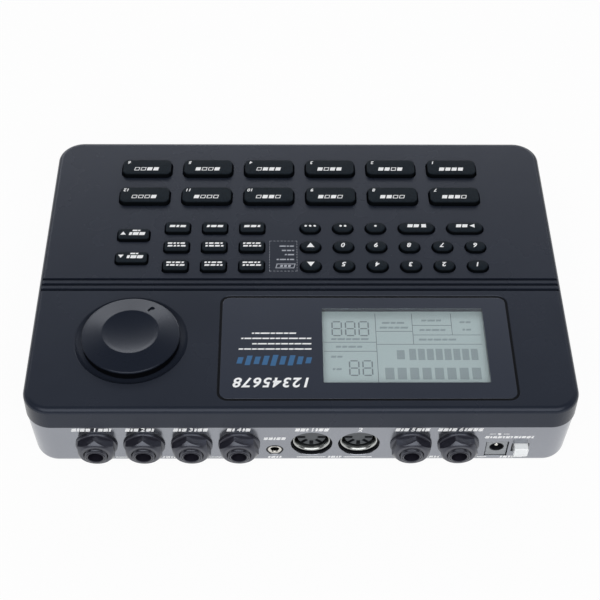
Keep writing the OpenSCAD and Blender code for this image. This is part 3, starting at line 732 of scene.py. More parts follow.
def wheel_profile():
    skirt = wheel_low.z
    points = [(5.0, skirt + 1.5), (5.0, skirt), (6.5, skirt), (6.5, SKIRT_TOP), (WHEEL_R - 0.3, SKIRT_TOP),
              (WHEEL_R, SKIRT_TOP + 0.3)]
    points += [(WHEEL_R - inset, EDGE_H - WHEEL_EDGE_R + rise) for inset, rise in round_edge(WHEEL_EDGE_R, steps=8)]
    ring_start = WHEEL_R - WHEEL_EDGE_R
    for step in range(1, 9):
        share = step / 9
        points.append((ring_start + (DISH_R + 0.5 - ring_start) * share, EDGE_H + (RIM_H - 0.1 - EDGE_H) * share))
    points += [(DISH_R + 0.4, RIM_H - 0.06), (DISH_R + 0.15, RIM_H - 0.01), (DISH_R - 0.15, RIM_H - 0.04)]
    for step in range(1, 13):
        radius = (DISH_R - 0.3) * (1 - step / 12) + 0.1
        points.append((radius, RIM_H - 0.1 - DISH_DEPTH * (1 - (radius / DISH_R) ** 2)))
    return points


print("wheel profile:", len(wheel_profile()), "points")

# %% The pointer and the skirt of painted shade
MARK_ANGLE = 239.0
MARK_R = 15.9
MARK_SIZE = (4.2, 2.0)
MARK_DEPTH = 0.8
SKIRT_SETBACK = 0.35
SKIRT_T = 1.4


def pointer_cutter():
    tilt = atan2(RIM_H - EDGE_H, WHEEL_R - WHEEL_EDGE_R - DISH_R)
    height = EDGE_H + (WHEEL_R - WHEEL_EDGE_R - MARK_R) * tan(tilt)
    slot = slab(*MARK_SIZE, MARK_SIZE[1] / 2, -MARK_DEPTH, 3)
    slot.transform(Matrix.Rotation(radians(MARK_ANGLE), 4, "Z") @ Matrix.Translation((MARK_R, 0, height))
                   @ Matrix.Rotation(tilt, 4, "Y"))
    return slot


def wheel_skirt():
    """The near-black skirt under the wheel's lip, painted shade."""
    low, high, outer = wheel_low.z, SKIRT_TOP + 0.1, WHEEL_R - SKIRT_SETBACK
    return lathe([(outer - SKIRT_T, low), (outer, low), (outer, high), (outer - SKIRT_T, high)], WHEEL_STEPS,
                 closed=True)


wheel_shape = carve(lathe(wheel_profile(), WHEEL_STEPS), pointer_cutter())
data_wheel = piece("finger_wheel", moved(wheel_shape, wheel_middle.x, wheel_middle.y), WHEEL_PLASTIC, body="wheel",
                   stands_for=["data_wheel"], sharp=24)
# Painted shade: the near-black skirt stands for the shade under the wheel's lip.
piece("finger_wheel_shade_skirt", moved(wheel_skirt(), wheel_middle.x, wheel_middle.y), BLACK_AND_PAINTED_SHADE, body="wheel")
print("wheel:", len(data_wheel.data.polygons), "faces")

# %% [markdown]
# ## Pads and keys
#
# All 40 are moulded rubber of the same build: a flange that stays under the cover and a cap with a round edge and a
# slight crown. The pads are the tallest. One function draws them all from their measured size.

# %% One key's rubber
EDGES = {"pad": (0.55, 0.5), "function": (0.4, 0.4), "key_tempo": (0.4, 0.4), "round": (0.8, 0.7)}
CROWN = 0.12
FLANGE_T = 1.0
FLANGE_W = 1.0


def key_rubber(name):
    middle, size, top, bottom = key_box(name)
    radius = cap_radius(name, size.y) - 0.01
    reach, rise_h = EDGES[key_kind(name)]

    def ring(inset, height):
        return lifted(outline(size.x - 2 * inset, size.y - 2 * inset, radius - inset), height)

    rings = [ring(-FLANGE_W, bottom), ring(-FLANGE_W, bottom + FLANGE_T), ring(0, bottom + FLANGE_T)]
    rings += [ring(inset, top - CROWN - rise_h + rise) for inset, rise in round_edge(reach, rise_h)]
    for share in (0.25, 0.5, 0.75, 0.97):
        inset = reach + (size.y / 2 - reach) * share
        rings.append(ring(inset, top - CROWN * (1 - share) ** 2))
    return moved(loft(rings), middle.x, middle.y)


for name in KEY_NAMES:
    piece(f"rubber_{name}", key_rubber(name), KEY_RUBBER, body=name, stands_for=[name])
print("rubber keys:", len(KEY_NAMES))

# %% [markdown]
# ## Large audio sockets
#
# A threaded ferrule comes through the panel and a flanged hex nut holds it. The corners of the nut's face are turned
# off by a cone, which leaves the curved arcs that everyone knows from nuts, so the nut is a hexagonal prism carved
# with a turned shape. Each nut stands at its own angle, as the spanner left it.

# %% The ferrule and its socket
FERRULE_R = 4.75
FERRULE_OUT = 6.9
BORE_R = 3.3
BORE_LEN = 30.0
THREAD_PITCH = 0.75
THREAD_DEPTH = 0.32
THREAD_END = 3.5
JACK_BODY = (15.4, 23.0)


def ferrule():
    """Bore, chamfered and grooved mouth, threaded outside and the part that goes through the panel."""
    profile = [(BORE_R, FERRULE_OUT - BORE_LEN)]
    profile += [(BORE_R + wider, FERRULE_OUT - back) for wider, back in (
        (0, 0.45), (0.12, 0.15), (0.4, 0), (0.62, 0.1), (0.66, 0.55), (0.9, 0.55), (0.94, 0.15))]
    profile.append((FERRULE_R - 0.3, FERRULE_OUT - 0.2))
    height = FERRULE_OUT - 0.35
    while height > THREAD_END:
        profile += [(FERRULE_R - 0.02, height), (FERRULE_R - 0.02, height - 0.12),
                    (FERRULE_R - THREAD_DEPTH, height - 0.38), (FERRULE_R - THREAD_DEPTH, height - 0.46)]
        height -= THREAD_PITCH
    profile += [(FERRULE_R, height), (FERRULE_R, -WALL), (BORE_R + 2, -WALL - 0.5),
                (BORE_R + 2, FERRULE_OUT - BORE_LEN)]
    return lathe(profile, 72, closed=True)


def jack_block(height):
    """The box behind the panel that the ferrule belongs to, with room for the ferrule's tube."""
    width, length = JACK_BODY
    block = loft([lifted(outline(width - cut, height - cut, 0.6, 3), -WALL - depth)
                  for depth, cut in ((0, 0.6), (0.3, 0), (length - 0.3, 0), (length, 0.6))])
    return carve(block, lathe([(BORE_R + 1.9, FERRULE_OUT - BORE_LEN), (BORE_R + 1.9, 1)], 48))


jack_low, jack_high = measured("jack_bodies")
for index, place in enumerate(jack_places):
    socket = together([ferrule(), jack_block(jack_high.z - jack_low.z)])
    piece(f"audio_socket_{index + 1}", socket, NUT_BLACK, on_panel(*place),
          stands_for=["jack_bodies"])
print("ferrule:", len(ferrule().verts), "points")

# %% The flanged nut
NUT_AF = 15.2
NUT_H = 5.8
NUT_FLANGE = (9.0, 1.3)
NUT_CHAMFER = 0.9
NUT_TURNS = [30, 30, 41, 44, 20, 44]
NUT_BORE_R = 4.88


def nut():
    half = NUT_AF / 2
    cone = lathe([(half + 4, 0), (half + 4, NUT_H - 4.6), (half + NUT_CHAMFER, NUT_H - 1.75),
                  (half - 0.1, NUT_H - 0.75), (half - 0.6, NUT_H - 0.22), (half - 1.1, NUT_H)], 144)
    hexagon = carve(prism(circle(half / cos(pi / 6), 6), 0.4, NUT_H + 1), cone, "INTERSECT")
    flange_r, flange_t = NUT_FLANGE
    flange = lathe([(flange_r - 0.25, 0), (flange_r, 0.25), (flange_r, flange_t - 0.45),
                    (flange_r - 0.15, flange_t - 0.15), (flange_r - 0.5, flange_t), (half, flange_t + 0.1)])
    whole = carve(hexagon, flange, "UNION")
    mouth_r = NUT_BORE_R + 0.6
    return carve(whole, lathe([(NUT_BORE_R, -1), (NUT_BORE_R, NUT_H - 0.5), (mouth_r, NUT_H + 0.1), (mouth_r, 8)]))


for index, place in enumerate(jack_places):
    piece(f"socket_nut_{index + 1}", moved(nut(), turn=NUT_TURNS[index]), NUT_BLACK, on_panel(*place),
          stands_for=["jack_nuts"], sharp=25)
print("nuts:", len(jack_places))

# %% [markdown]
# ## Round sockets, small socket, power inlet and button
#
# A round multi-pin socket is a black housing, a bright shield tube and a grey core with five slots. The five stand in
# an arc that is open at the top. The tube's mouth rolls outwards, and that lip is the brightest line on the panel.
# Light hardly reaches the rest, so the depth of each part matters more than its colour.

# %% The round sockets
DIN_R = 8.75
SHIELD_R = 6.95
SHIELD_T = 1.0
SHIELD_OUT = SHIELD_R + SHIELD_T
SHIELD_ROLL = 1.75
CORE_R = 6.15
CORE_DEPTH = 3.5
PIN_ANGLES = [0, 45, 90, 135, 180]
PIN_RING_R = 4.3
PIN_SLOT = (3.3, 1.7)
DIN_BACK = (19, 16.6)


def din_housing():
    """Black collar, whose face falls in a step towards the shield, and the block behind the panel."""
    collar = lathe([(SHIELD_OUT, -10), (SHIELD_OUT, -2.0), (SHIELD_OUT + 0.06, -1.8), (DIN_R - 0.62, -1.7),
                    (DIN_R - 0.5, -1.5), (DIN_R - 0.4, -0.8), (DIN_R - 0.15, -0.6), (DIN_R, -0.8), (DIN_R, -4.3),
                    (DIN_R - 0.4, -13), (SHIELD_OUT, -13)], closed=True)
    return together([collar, slab(*DIN_BACK, 0.6, -14.8, -9.9, steps=3)])


def din_shield():
    """Bright tube whose mouth rolls outwards, so that it mirrors the room from behind."""
    lip = [(SHIELD_R + inset, rise - 3.3) for inset, rise in round_edge(SHIELD_T - 0.02, SHIELD_ROLL, steps=8)]
    return lathe([(SHIELD_R, -10)] + lip + [(SHIELD_OUT, -1.6), (SHIELD_OUT, -10)], closed=True)


def pin_slots(low, high, spare=0.0):
    """Five upright slots in an arc, between two heights."""
    return together([moved(slab(PIN_SLOT[0] - spare, PIN_SLOT[1] - spare, 0.2, low, high, steps=3),
                           PIN_RING_R * cos(radians(angle)), PIN_RING_R * sin(radians(angle)),
                           turn=angle)
                     for angle in PIN_ANGLES])


def din_core():
    core = lathe([(CORE_R - 0.6, -10), (CORE_R, -9.9), (CORE_R, -CORE_DEPTH - 0.25), (CORE_R - 0.25, -CORE_DEPTH),
                  (0.05, -CORE_DEPTH)], 72)
    return carve(core, pin_slots(-9, 0))


for index, place in enumerate(din_places):
    piece(f"round_socket_housing_{index + 1}", din_housing(), BLACK_AND_PAINTED_SHADE, on_panel(*place),
          stands_for=["round_sockets"])
    piece(f"round_socket_shield_{index + 1}", din_shield(), SHIELD_METAL, on_panel(*place))
    piece(f"round_socket_core_{index + 1}", din_core(), CORE_GREY, on_panel(*place))
    # Painted shade: near-black blocks at the foot of the pin slots make the slots read dark.
    piece(f"round_socket_slot_shade_{index + 1}", pin_slots(-8.9, -CORE_DEPTH - 0.25, 0.02), BLACK_AND_PAINTED_SHADE,
          on_panel(*place))
print("round sockets:", len(din_places))

# %% The small audio socket
mini_low, mini_high = measured("mini_jack")
MINI_R = 3.6
MINI_NOSE_R = 2.95
MINI_BORE_R = 1.8


def mini_nose():
    return lathe([(MINI_BORE_R, -14), (MINI_BORE_R, -0.5), (MINI_BORE_R + 0.35, -0.12), (MINI_BORE_R + 0.6, -0.02),
                  (MINI_NOSE_R - 0.2, -0.02), (MINI_NOSE_R, -0.15), (MINI_NOSE_R, -14)], 72, closed=True)


def mini_ring():
    return lathe([(MINI_NOSE_R, -2.6), (MINI_NOSE_R, -0.25), (MINI_NOSE_R + 0.15, -0.1), (MINI_R - 0.15, -0.1),
                  (MINI_R, -0.25), (MINI_R, -2.6)], 72, closed=True)


mini_box = slab(mini_high.x - mini_low.x, mini_high.z - mini_low.z, 0.4, -WALL - 13, -WALL - 0.05, steps=3)
mini_box = carve(mini_box, lathe([(MINI_NOSE_R + 0.02, -20), (MINI_NOSE_R + 0.02, 1)], 48))
piece("small_socket_nose", mini_nose(), NICKEL, on_panel(*mini_place), stands_for=["mini_jack"])
piece("small_socket_ring", together([mini_ring(), mini_box]), SOCKET_BLACK, on_panel(*mini_place))
print("small socket at x", round(mini_place[0], 2))

# %% The power inlet
inlet_low, inlet_high = measured("power_inlet")
INLET_BORE_R = 2.75
INLET_SUNK = 0.5
INLET_BACK = -9.0
INLET_PIN_R = 1.0
INLET_PIN_TOP = -1.9


def inlet_body():
    block = slab(inlet_high.x - inlet_low.x, INLET_HOLE_H - 0.5, 0.3, -WALL - 13, -INLET_SUNK, 0.15, steps=3)
    bore = lathe([(INLET_BORE_R + 0.44, INLET_BACK), (INLET_BORE_R + 0.44, 1)], 64)
    return carve(moved(block, y=inlet_place[1] - INLET_HOLE_Z), bore)


def inlet_pin():
    tip = [(INLET_PIN_R - inset, INLET_PIN_TOP + rise) for inset, rise in round_edge(0.55)]
    return lathe([(INLET_PIN_R, INLET_BACK - 0.2), (INLET_PIN_R, INLET_PIN_TOP)] + tip
                 + [(0.05, INLET_PIN_TOP + 0.58)], 40)


def inlet_sleeve():
    front = -INLET_SUNK - 0.05
    return lathe([(INLET_BORE_R, INLET_BACK), (INLET_BORE_R, front - 0.3), (INLET_BORE_R + 0.12, front),
                  (INLET_BORE_R + 0.35, front), (INLET_BORE_R + 0.42, front - 0.2),
                  (INLET_BORE_R + 0.42, INLET_BACK)], 64, closed=True)


piece("power_inlet_sleeve", inlet_sleeve(), SOCKET_BLACK, on_panel(*inlet_place))
piece("power_inlet_body", inlet_body(), INLET_GREY, on_panel(*inlet_place),
      stands_for=["power_inlet"])
piece("power_inlet_pin", inlet_pin(), NICKEL, on_panel(*inlet_place))
print("power inlet at x", round(inlet_place[0], 2))

# %% The power button
BUTTON_OUT = button_high.y - PANEL_Y
BUTTON_BACK = button_low.y - PANEL_Y
CAP_BACK = -WALL - 1.3
STEM_R = 1.3


def power_button():
    return slab(*button_size, 0.7, CAP_BACK, BUTTON_OUT, 0.55, 6)


def button_carrier():
    """The dark frame behind the cap, with the stem that reaches the switch."""
    width, height = [size + 2 * BUTTON_FLANGE for size in button_size]
    flange = slab(width, height, 0.5, CAP_BACK - 0.15, CAP_BACK + 0.6, steps=3)
    return carve(flange, lathe([(STEM_R, BUTTON_BACK), (STEM_R, CAP_BACK + 0.2)], 40), "UNION")


piece("push_button", power_button(), BUTTON_WHITE, on_panel(*button_place), body="power",
      stands_for=["power_button"])
piece("push_button_carrier", button_carrier(), SOCKET_BLACK, on_panel(*button_place), body="power")
print(f"button stands {BUTTON_OUT:.1f} mm out of the panel")

# %% Feet and screws
_, foot_high = measured("rubber_feet")
FOOT_R = 6.0
HEAD_PROFILE = [(1.4, 10), (1.4, 0), (2.8, 0), (2.8, -1.2), (2.4, -1.9), (1.6, -2.15), (0.05, -2.2)]
CROSS = (3.0, 0.7)
CROSS_TURNS = (25, 115)


def screw_head():
    """A pan head seen from below, with a cross recess."""
    head = lathe([(radius, SCREW_SEAT + height) for radius, height in HEAD_PROFILE], 48)
    bars = [moved(slab(*CROSS, 0.1, SCREW_SEAT - 4, SCREW_SEAT - 1.1, steps=2), turn=turn) for turn in CROSS_TURNS]
    return carve(head, carve(*bars, "UNION"))


foot = [(FOOT_R - 1.4, 0.35), (FOOT_R - 1.3, 0.05), (FOOT_R - 1.0, 0), (FOOT_R - 0.7, 0), (FOOT_R - 0.25, 0.2),
        (FOOT_R - 0.05, 0.6), (FOOT_R, 1.2), (FOOT_R, foot_high.z)]
piece("foot_pads", both_sides(foot, 64, FOOT_X, FOOT_Y), FOOT_RUBBER, WORLD, stands_for=["rubber_feet"])
screws = together([moved(screw_head(), side * SCREW_X, y) for side in (-1, 1) for y in SCREW_Y])
piece("cross_screws", screws, SCREW_BLACK, WORLD)
print("feet and screws are in")

# %% Finishes for the pieces inside
INSIDE = {"key_mat": MAT_RUBBER, "key_board": BOARD_GREEN, "main_board": BOARD_GREEN, "wheel_encoder": STEEL,
          "wheel_shaft": STEEL, "power_switch": SOCKET_BLACK, "backup_cell": NICKEL, "case_screws": SCREW_BLACK}
for node, material in INSIDE.items():
    mesh = frame["nodes"][node].data
    mesh.materials.clear()
    mesh.materials.append(material)
print("construction pieces with a finish of their own:", len(INSIDE))

# %% [markdown]
# ## Printed marks
#
# Ink is a layer of its own: each mark is a thin closed shape, half sunk in the surface that it is printed on, so it
# catches light like real ink and rides on its key. The marks say only what the layout says: pads and keys have plain
# numbers, arrows, a bar or dots, and the rest is slanted blocks that stand where words would be.

# %% Ink shapes
INK_OVER = 0.02
INK_UNDER = 0.06
SLANT = 0.22
OPEN_T = 0.34
DOT_R = 0.62
DOT_PITCH = 2.1
NUMBER_SIZE = 1.37
NUMBER_BOLD = 0.035


def bar(width, height, x=0.0, y=0.0, slant=SLANT, frame_t=0.0):
    """A slanted block of ink, filled or as a frame."""
    lean = slant * height / 2
    points = [(-width / 2 - lean, -height / 2), (width / 2 - lean, -height / 2), (width / 2 + lean, height / 2),
              (-width / 2 + lean, height / 2)]
    block = prism(points, -INK_UNDER, INK_OVER)
    if frame_t:
        inner = [(px * (1 - 2 * frame_t / width), py * (1 - 2 * frame_t / height)) for px, py in points]
        block = carve(block, prism(inner, -1, 1))
    return moved(block, x, y)


def row_width(pattern, unit, gap):
    """The length of a row of blocks."""
    widths = [int(mark) * unit for mark in pattern if mark != "."]
    return sum(widths) + gap * (len(widths) - 1)


def blocks(pattern, height, x=0.0, y=0.0, unit=1.0, gap=0.45):
    """A row of blocks about a middle: a digit gives a block's width in units, and a dot before it leaves it open."""
    left = x - row_width(pattern, unit, gap) / 2
    row = []
    for i, mark in enumerate(pattern):
        if mark != ".":
            width = int(mark) * unit
            row.append(bar(width, height, left + width / 2, y, frame_t=OPEN_T if pattern[i - 1] == "." else 0.0))
            left += width + gap
    return row


def arrow(width, height, x=0.0, y=0.0, turn=0.0):
    """A filled triangle that points to the rear, or another way when it is turned."""
    return moved(prism([(-width / 2, -height / 2), (width / 2, -height / 2), (0, height / 2)], -INK_UNDER, INK_OVER),
                 x, y, turn=turn)


def dots(count, x=0.0, y=0.0, radius=DOT_R):
    return [moved(prism(circle(radius, 24), -INK_UNDER, INK_OVER), x + (i - (count - 1) / 2) * DOT_PITCH, y)
            for i in range(count)]


def number(text, height, x=0.0, y=0.0):
    """A plain number, slanted like the blocks."""
    curve = bpy.data.curves.new("number", "FONT")
    curve.body = text
    curve.align_x, curve.align_y = "CENTER", "CENTER"
    curve.size = height * NUMBER_SIZE
    curve.shear = SLANT
    curve.offset = NUMBER_BOLD * height
    curve.resolution_u = 6
    curve.extrude = (INK_OVER + INK_UNDER) / 2
    made = in_scene("number", curve)
    mesh = bpy.data.meshes.new_from_object(made.evaluated_get(bpy.context.evaluated_depsgraph_get()))
    shape = bmesh.new()
    shape.from_mesh(mesh)
    bpy.data.curves.remove(curve)
    bpy.data.meshes.remove(mesh)
    bmesh.ops.remove_doubles(shape, verts=shape.verts, dist=0.0005)
    return moved(shape, x, y, (INK_OVER - INK_UNDER) / 2)


print("a pad's pattern has", len(blocks("2.222", 2.8)), "blocks")

# %% Marks on the pads and keys
PAD_PATTERNS = ["2222", "2.222", "22.22", "222.2", "2.2.22", "22.2.2", ".2222", ".2.222", ".22.22", ".222.2",
                ".2.2.22", "2.2.2.2"]
FUNCTION_PATTERNS = ["212", "221", "122", "2112", "1221", "2121", "1212", "2211", "1122"]
SIGN_DOTS = {"key_pattern_a": 1, "key_pattern_b": 2, "key_fill": 3}


def key_marks(name):
    """The ink of one key, about its middle."""
    if name.startswith("pad"):
        index = int(name[4:])
        return blocks(PAD_PATTERNS[index - 1], 2.2, 0.2, 1.6, 1.2, 0.65) + [number(str(index), 2.0, 8.7, -3.1)]
    if name.startswith("function"):
        index = int(name.rsplit("_", 1)[1])
        pattern = FUNCTION_PATTERNS[index - 1]
        if index <= 3:
            return blocks(pattern, 1.4, 0, -0.3, 1.25, 0.6)
        return blocks(pattern, 0.95, 0.1, -1.4, 1.05, 0.55) + blocks(pattern[::-1], 0.95, -0.1, 0.35, 1.1, 0.55)
    if name.startswith("key_tempo"):
        turn = 0 if name.endswith("up") else 180
        return [arrow(2.6, 2.0, 4.9, -0.3, turn)] + blocks("221", 1.9, -1.6, 0, 1.3, 0.4) \
            + blocks("12", 0.9, -1.2, -2.1, 1.1, 0.3)
    if name in SIGN_DOTS:
        return dots(SIGN_DOTS[name], 0, -0.5)
    if name == "key_play":
        return [arrow(2.5, 2.4, -3.3, -0.6, -90)] + blocks("22", 2.0, 1.5, -0.6, 1.2, 0.5)
    if name == "key_stop":
        return [bar(2.2, 2.2, -3.4, -0.6, 0)] + blocks("22", 2.0, 1.5, -0.6, 1.2, 0.5)
    if name in ("key_up", "key_down"):
        return [arrow(3.5, 2.9, 0, -0.3, 0 if name == "key_up" else 180)]
    return [number(name[4:], 2.7, 0, -0.4)]


def sliced(shape, step=0.7):
    """The same shape, cut along a grid so that it can bend."""
    low = [min(vert.co[axis] for vert in shape.verts) for axis in (0, 1)]
    high = [max(vert.co[axis] for vert in shape.verts) for axis in (0, 1)]
    for axis in (0, 1):
        normal = [float(axis == i) for i in range(3)]
        for i in range(1, ceil((high[axis] - low[axis]) / step)):
            point = [normal[k] * (low[axis] + i * step) for k in range(3)]
            bmesh.ops.bisect_plane(shape, geom=shape.verts[:] + shape.edges[:] + shape.faces[:], dist=1e-5,
                                   plane_co=point, plane_no=normal)
    return shape


def lay_on_key(shape, name):
    """The ink follows the crown of the key and moves to the key's place."""
    middle, size, top, _ = key_box(name)
    kind = key_kind(name)
    reach = EDGES[kind][0]
    straight = (size.x - size.y) / 2
    for vert in sliced(shape).verts:
        x, y = abs(vert.co.x), abs(vert.co.y)
        if kind == "round":
            inward = size.y / 2 - hypot(max(x - straight, 0), y)
        else:
            inward = min(size.x / 2 - x, size.y / 2 - y)
        share = min(max((inward - reach) / (size.y / 2 - reach), 0), 0.97)
        vert.co.z += top - CROWN * (1 - share) ** 2
    return moved(shape, middle.x, middle.y)


for name in KEY_NAMES:
    piece(f"print_{name}", lay_on_key(together(key_marks(name)), name), WHITE_INK, body=name)
print("printed keys:", len(KEY_NAMES))

# %% Marks on the deck
BOX_U = (1.4, 14.0)
BOX_V = (-15.2, 4.1)
BOX_ROWS = ((-3.3, "2131"), (-6.4, "31"), (-9.1, "122"), (-11.9, "213"))


def dashes(start, end, across, thickness=0.16, dash=0.9, gap=0.7, upright=False):
    """A broken line along u, or along v where it is upright."""
    count = max(round((end - start + gap) / (dash + gap)), 1)
    length = (end - start + gap) / count - gap
    middles = [start + length / 2 + i * (length + gap) for i in range(count)]
    if upright:
        return [bar(thickness, length, across, middle, 0) for middle in middles]
    return [bar(length, thickness, middle, across, 0) for middle in middles]


box = dashes(*BOX_U, BOX_V[0]) + dashes(*BOX_U, BOX_V[1])
box += dashes(*BOX_V, BOX_U[0], upright=True) + dashes(*BOX_V, BOX_U[1], upright=True)
box += [bar(8.6, 2.9, 6.7, 0.8, frame_t=0.4)] + blocks("111", 1.3, 6.7, 0.8, 1.2, 0.6)
for v, pattern in BOX_ROWS:
    box += blocks(pattern, 0.75, 2.4 + sum(map(int, pattern)) * 0.62, v, 0.95, 0.45)
piece("print_deck_box", together(box), GREY_INK)
print("shapes in the framed mark:", len(box))

# %% Marks on the lens
LENS_INK = DECK @ Matrix.Translation((0, 0, lens_high.z * MM))
LENS_ROWS = ((41.5, 2.1, "3232421"), (44.5, -4.5, "2343223431"), (47.6, -4.5, "43232342"),
             (50.6, -4.5, "3423243232"))
METER_LEVELS = (0.3, 0.55, 0.9, 0.65, 1.0, 0.75, 0.5, 0.8, 0.35)
METER_PITCH = 3.7
STEP_PITCH = 4.2
lens_rows = []
for v, left, pattern in LENS_ROWS:
    lens_rows += blocks(pattern, 0.75, left + row_width(pattern, 1.0, 0.4) / 2, v, 1.0, 0.4)
piece("print_lens_rows", together(lens_rows), WHITE_INK, LENS_INK)
meter = [bar(2.3, 2.2 + 3.9 * level, -3.2 + METER_PITCH * i, 57.0) for i, level in enumerate(METER_LEVELS)]
piece("print_lens_meter", together(meter), BLUE_INK, LENS_INK)
steps = [number(str(i + 1), 5.2, -2.6 + STEP_PITCH * i, 69.0) for i in range(8)]
piece("print_lens_steps", together(steps), WHITE_INK, LENS_INK)
print("marks on the lens:", len(lens_rows) + len(meter) + len(steps))

# %% Marks on the socket panel
PANEL_LABEL_Z = 27.3
LOW_LABEL_Z = 21.3
INK_PROUD = 0.04
LABEL_H = 2.3
LOW_LABEL_H = 1.7
LABEL_UNIT = 0.95
LOW_LABEL_UNIT = 0.85
LABEL_GAP = 0.4
JACK_ROOM = 1.7
JACK_LABELS = [("2122", "221"), ("212", "21"), ("212", "122"), ("21", "12"), ("212", "212"), ("2212", "1222")]
DIN_LABELS = [("221", "122"), ("", "")]
DIN_ROOM = 1.525


def panel_label(x, z, shapes, name):
    """Ink on the panel that reads from the rear."""
    place = on_panel(x, z, INK_PROUD) @ Matrix.Rotation(pi, 4, "Z")
    piece(name, together(shapes), WHITE_INK, place)


def numbered(index, sides, room):
    """A socket's number, with room on both sides of its middle, between two rows of blocks."""
    shapes = []
    for side, pattern in zip((-1, 1), sides):
        if pattern:
            middle = side * (room + row_width(pattern, LABEL_UNIT, LABEL_GAP) / 2)
            shapes += blocks(pattern, LABEL_H, middle, 0, LABEL_UNIT, LABEL_GAP)
    return shapes + [number(str(index + 1), 2.7)]


def low_row(pattern, x=0.0, height=LOW_LABEL_H):
    return blocks(pattern, height, x, 0, LOW_LABEL_UNIT, LABEL_GAP)


for kind, places, labels, room in (("audio", jack_places, JACK_LABELS, JACK_ROOM),
                                   ("round", din_places, DIN_LABELS, DIN_ROOM)):
    for index, place in enumerate(places):
        panel_label(place[0], PANEL_LABEL_Z, numbered(index, labels[index], room), f"print_{kind}_socket_{index + 1}")
panel_label(mini_place[0], LOW_LABEL_Z - 1, low_row("22122", 0, 1.9), "print_small_socket")
polarity = [bar(2.6, 0.35, x, 2.5, 0) for x in (-3, 3)] + dots(1, 0, 2.5, 0.75)
panel_label(inlet_place[0], LOW_LABEL_Z, low_row("2122121") + polarity, "print_power_inlet")
panel_label(button_place[0], LOW_LABEL_Z, low_row("21221", 0.4), "print_push_button")
print("labels on the panel:", len(jack_places) + len(din_places) + 3)

# %% Rules along the foot of the panel
RULE_Z = 5.3
RULE_T = 0.55
jack_x = [x for x, _ in jack_places]
din_x = [x for x, _ in din_places]
spans = [((jack_x[i] + jack_x[i + 1]) / 2 - 3.0, (jack_x[i] + jack_x[i + 1]) / 2 + 3.0) for i in (0, 2)]
spans += [(x - 6.2, x + 6.2) for x in din_x]
spans += [(inlet_place[0] + 3.8, inlet_place[0] + 7.9), (button_place[0] - 1.6, button_place[0] + 2.7)]
rules = [bar(abs(start - end), RULE_T, -(start + end) / 2, 0, 0) for start, end in spans]
for x in ((jack_x[1] + jack_x[2]) / 2, mini_place[0], (din_x[0] + din_x[1]) / 2, (jack_x[4] + jack_x[5]) / 2,
          (inlet_place[0] + button_place[0]) / 2):
    rules += blocks("1211", 1.5, -x, 0, 0.9, LABEL_GAP)
panel_label(0, RULE_Z, rules, "print_panel_rules")
print("rules:", len(spans))

# %% What shows on the display
GLASS_INK = DECK @ Matrix.Translation((0, 0, glass_high.z * MM))
STROKE_T = 0.62
DIVIDER_T = 0.25
SYMBOLS = ((33.4, -41.0, "323"), (36.2, -41.2, "3223"), (32.0, -58.0, "232"), (37.6, -58.2, "2322"),
           (33.0, -73.0, "22"), (37.4, -73.4, "21"), (42.9, -21.5, "33232"), (47.3, -21.0, "2322"),
           (43.2, -60.0, "32323"), (53.0, -15.5, "22"), (60.0, -15.5, "21"))
UPRIGHTS = ((-33.1, 67.4), (-49.4, 45.8), (-66.8, 40.5))
LEVELS = ((-33.1, -49.4, 38.4), (-49.4, -66.8, 34.9), (-49.4, -79.3, 40.5), (-33.1, -79.3, 45.9),
          (-10, -33.1, 44.7), (-10, -33.1, 49.9))


def segments(width, height, x, y):
    """The seven strokes of a display digit."""
    strokes = [bar(width - STROKE_T * 1.5, STROKE_T, x, level, 0) for level in (y - height / 2, y, y + height / 2)]
    return strokes + [bar(STROKE_T, height / 2 - STROKE_T * 1.3, x + side * width / 2, level, 0)
                      for side in (-1, 1) for level in (y + height / 4, y - height / 4)]


digits = [stroke for i in range(3) for stroke in segments(4.1, 8.1, -15.9 - 5.95 * i, 36.8)]
digits += [stroke for i in range(2) for stroke in segments(4.0, 8.1, -22.9 - 5.8 * i, 59.4)]
piece("display_digits", together(digits), SEGMENT_INK, GLASS_INK)
faint = [bar(3.0, 6.4, -48.6 - 3.85 * i, 51.7, 0) for i in range(8)] + [bar(3.4, 5.2, -43.4, 51.9, 0)]
faint += [bar(3.9, 6.5, -38.1 - 5.35 * i, 62.5, 0) for i in range(8)]
for v, u, pattern in SYMBOLS:
    faint += blocks(pattern, 1.1, u, v, 1.1, 0.5)
piece("display_symbols", together(faint), FAINT_INK, GLASS_INK)
glass_front = WINDOW_V - WINDOW_D / 2 + 1.2
dividers = [bar(DIVIDER_T, top - glass_front, u, (top + glass_front) / 2, 0) for u, top in UPRIGHTS]
dividers += [bar(u0 - u1, DIVIDER_T, (u0 + u1) / 2, v, 0) for u0, u1, v in LEVELS]
piece("display_dividers", together(dividers), DIVIDER_INK, GLASS_INK)
print("display marks:", len(digits) + len(faint) + len(dividers))

# %% [markdown]
# ## Table, light and camera
#
# The table is white and so far overexposed that only the faintest shadow is left. The camera, and whatever mirrors
# the table, sees it as a plain white, while its light on the machine is that of a pale matt surface. On the player's
# side the world is bright from the horizon up to some 40 degrees, and it dims overhead, behind the camera and to
# both sides. That makes the front of a satin deck paler than its rear and its ends. A long softbox on the player's
# side and a broad one behind the camera do the rest.

# %% The table
TABLE_SIZE = 12.0
TABLE_GLOW = 0.95
TABLE_TONE = (0.86, 0.86, 0.87, 1)


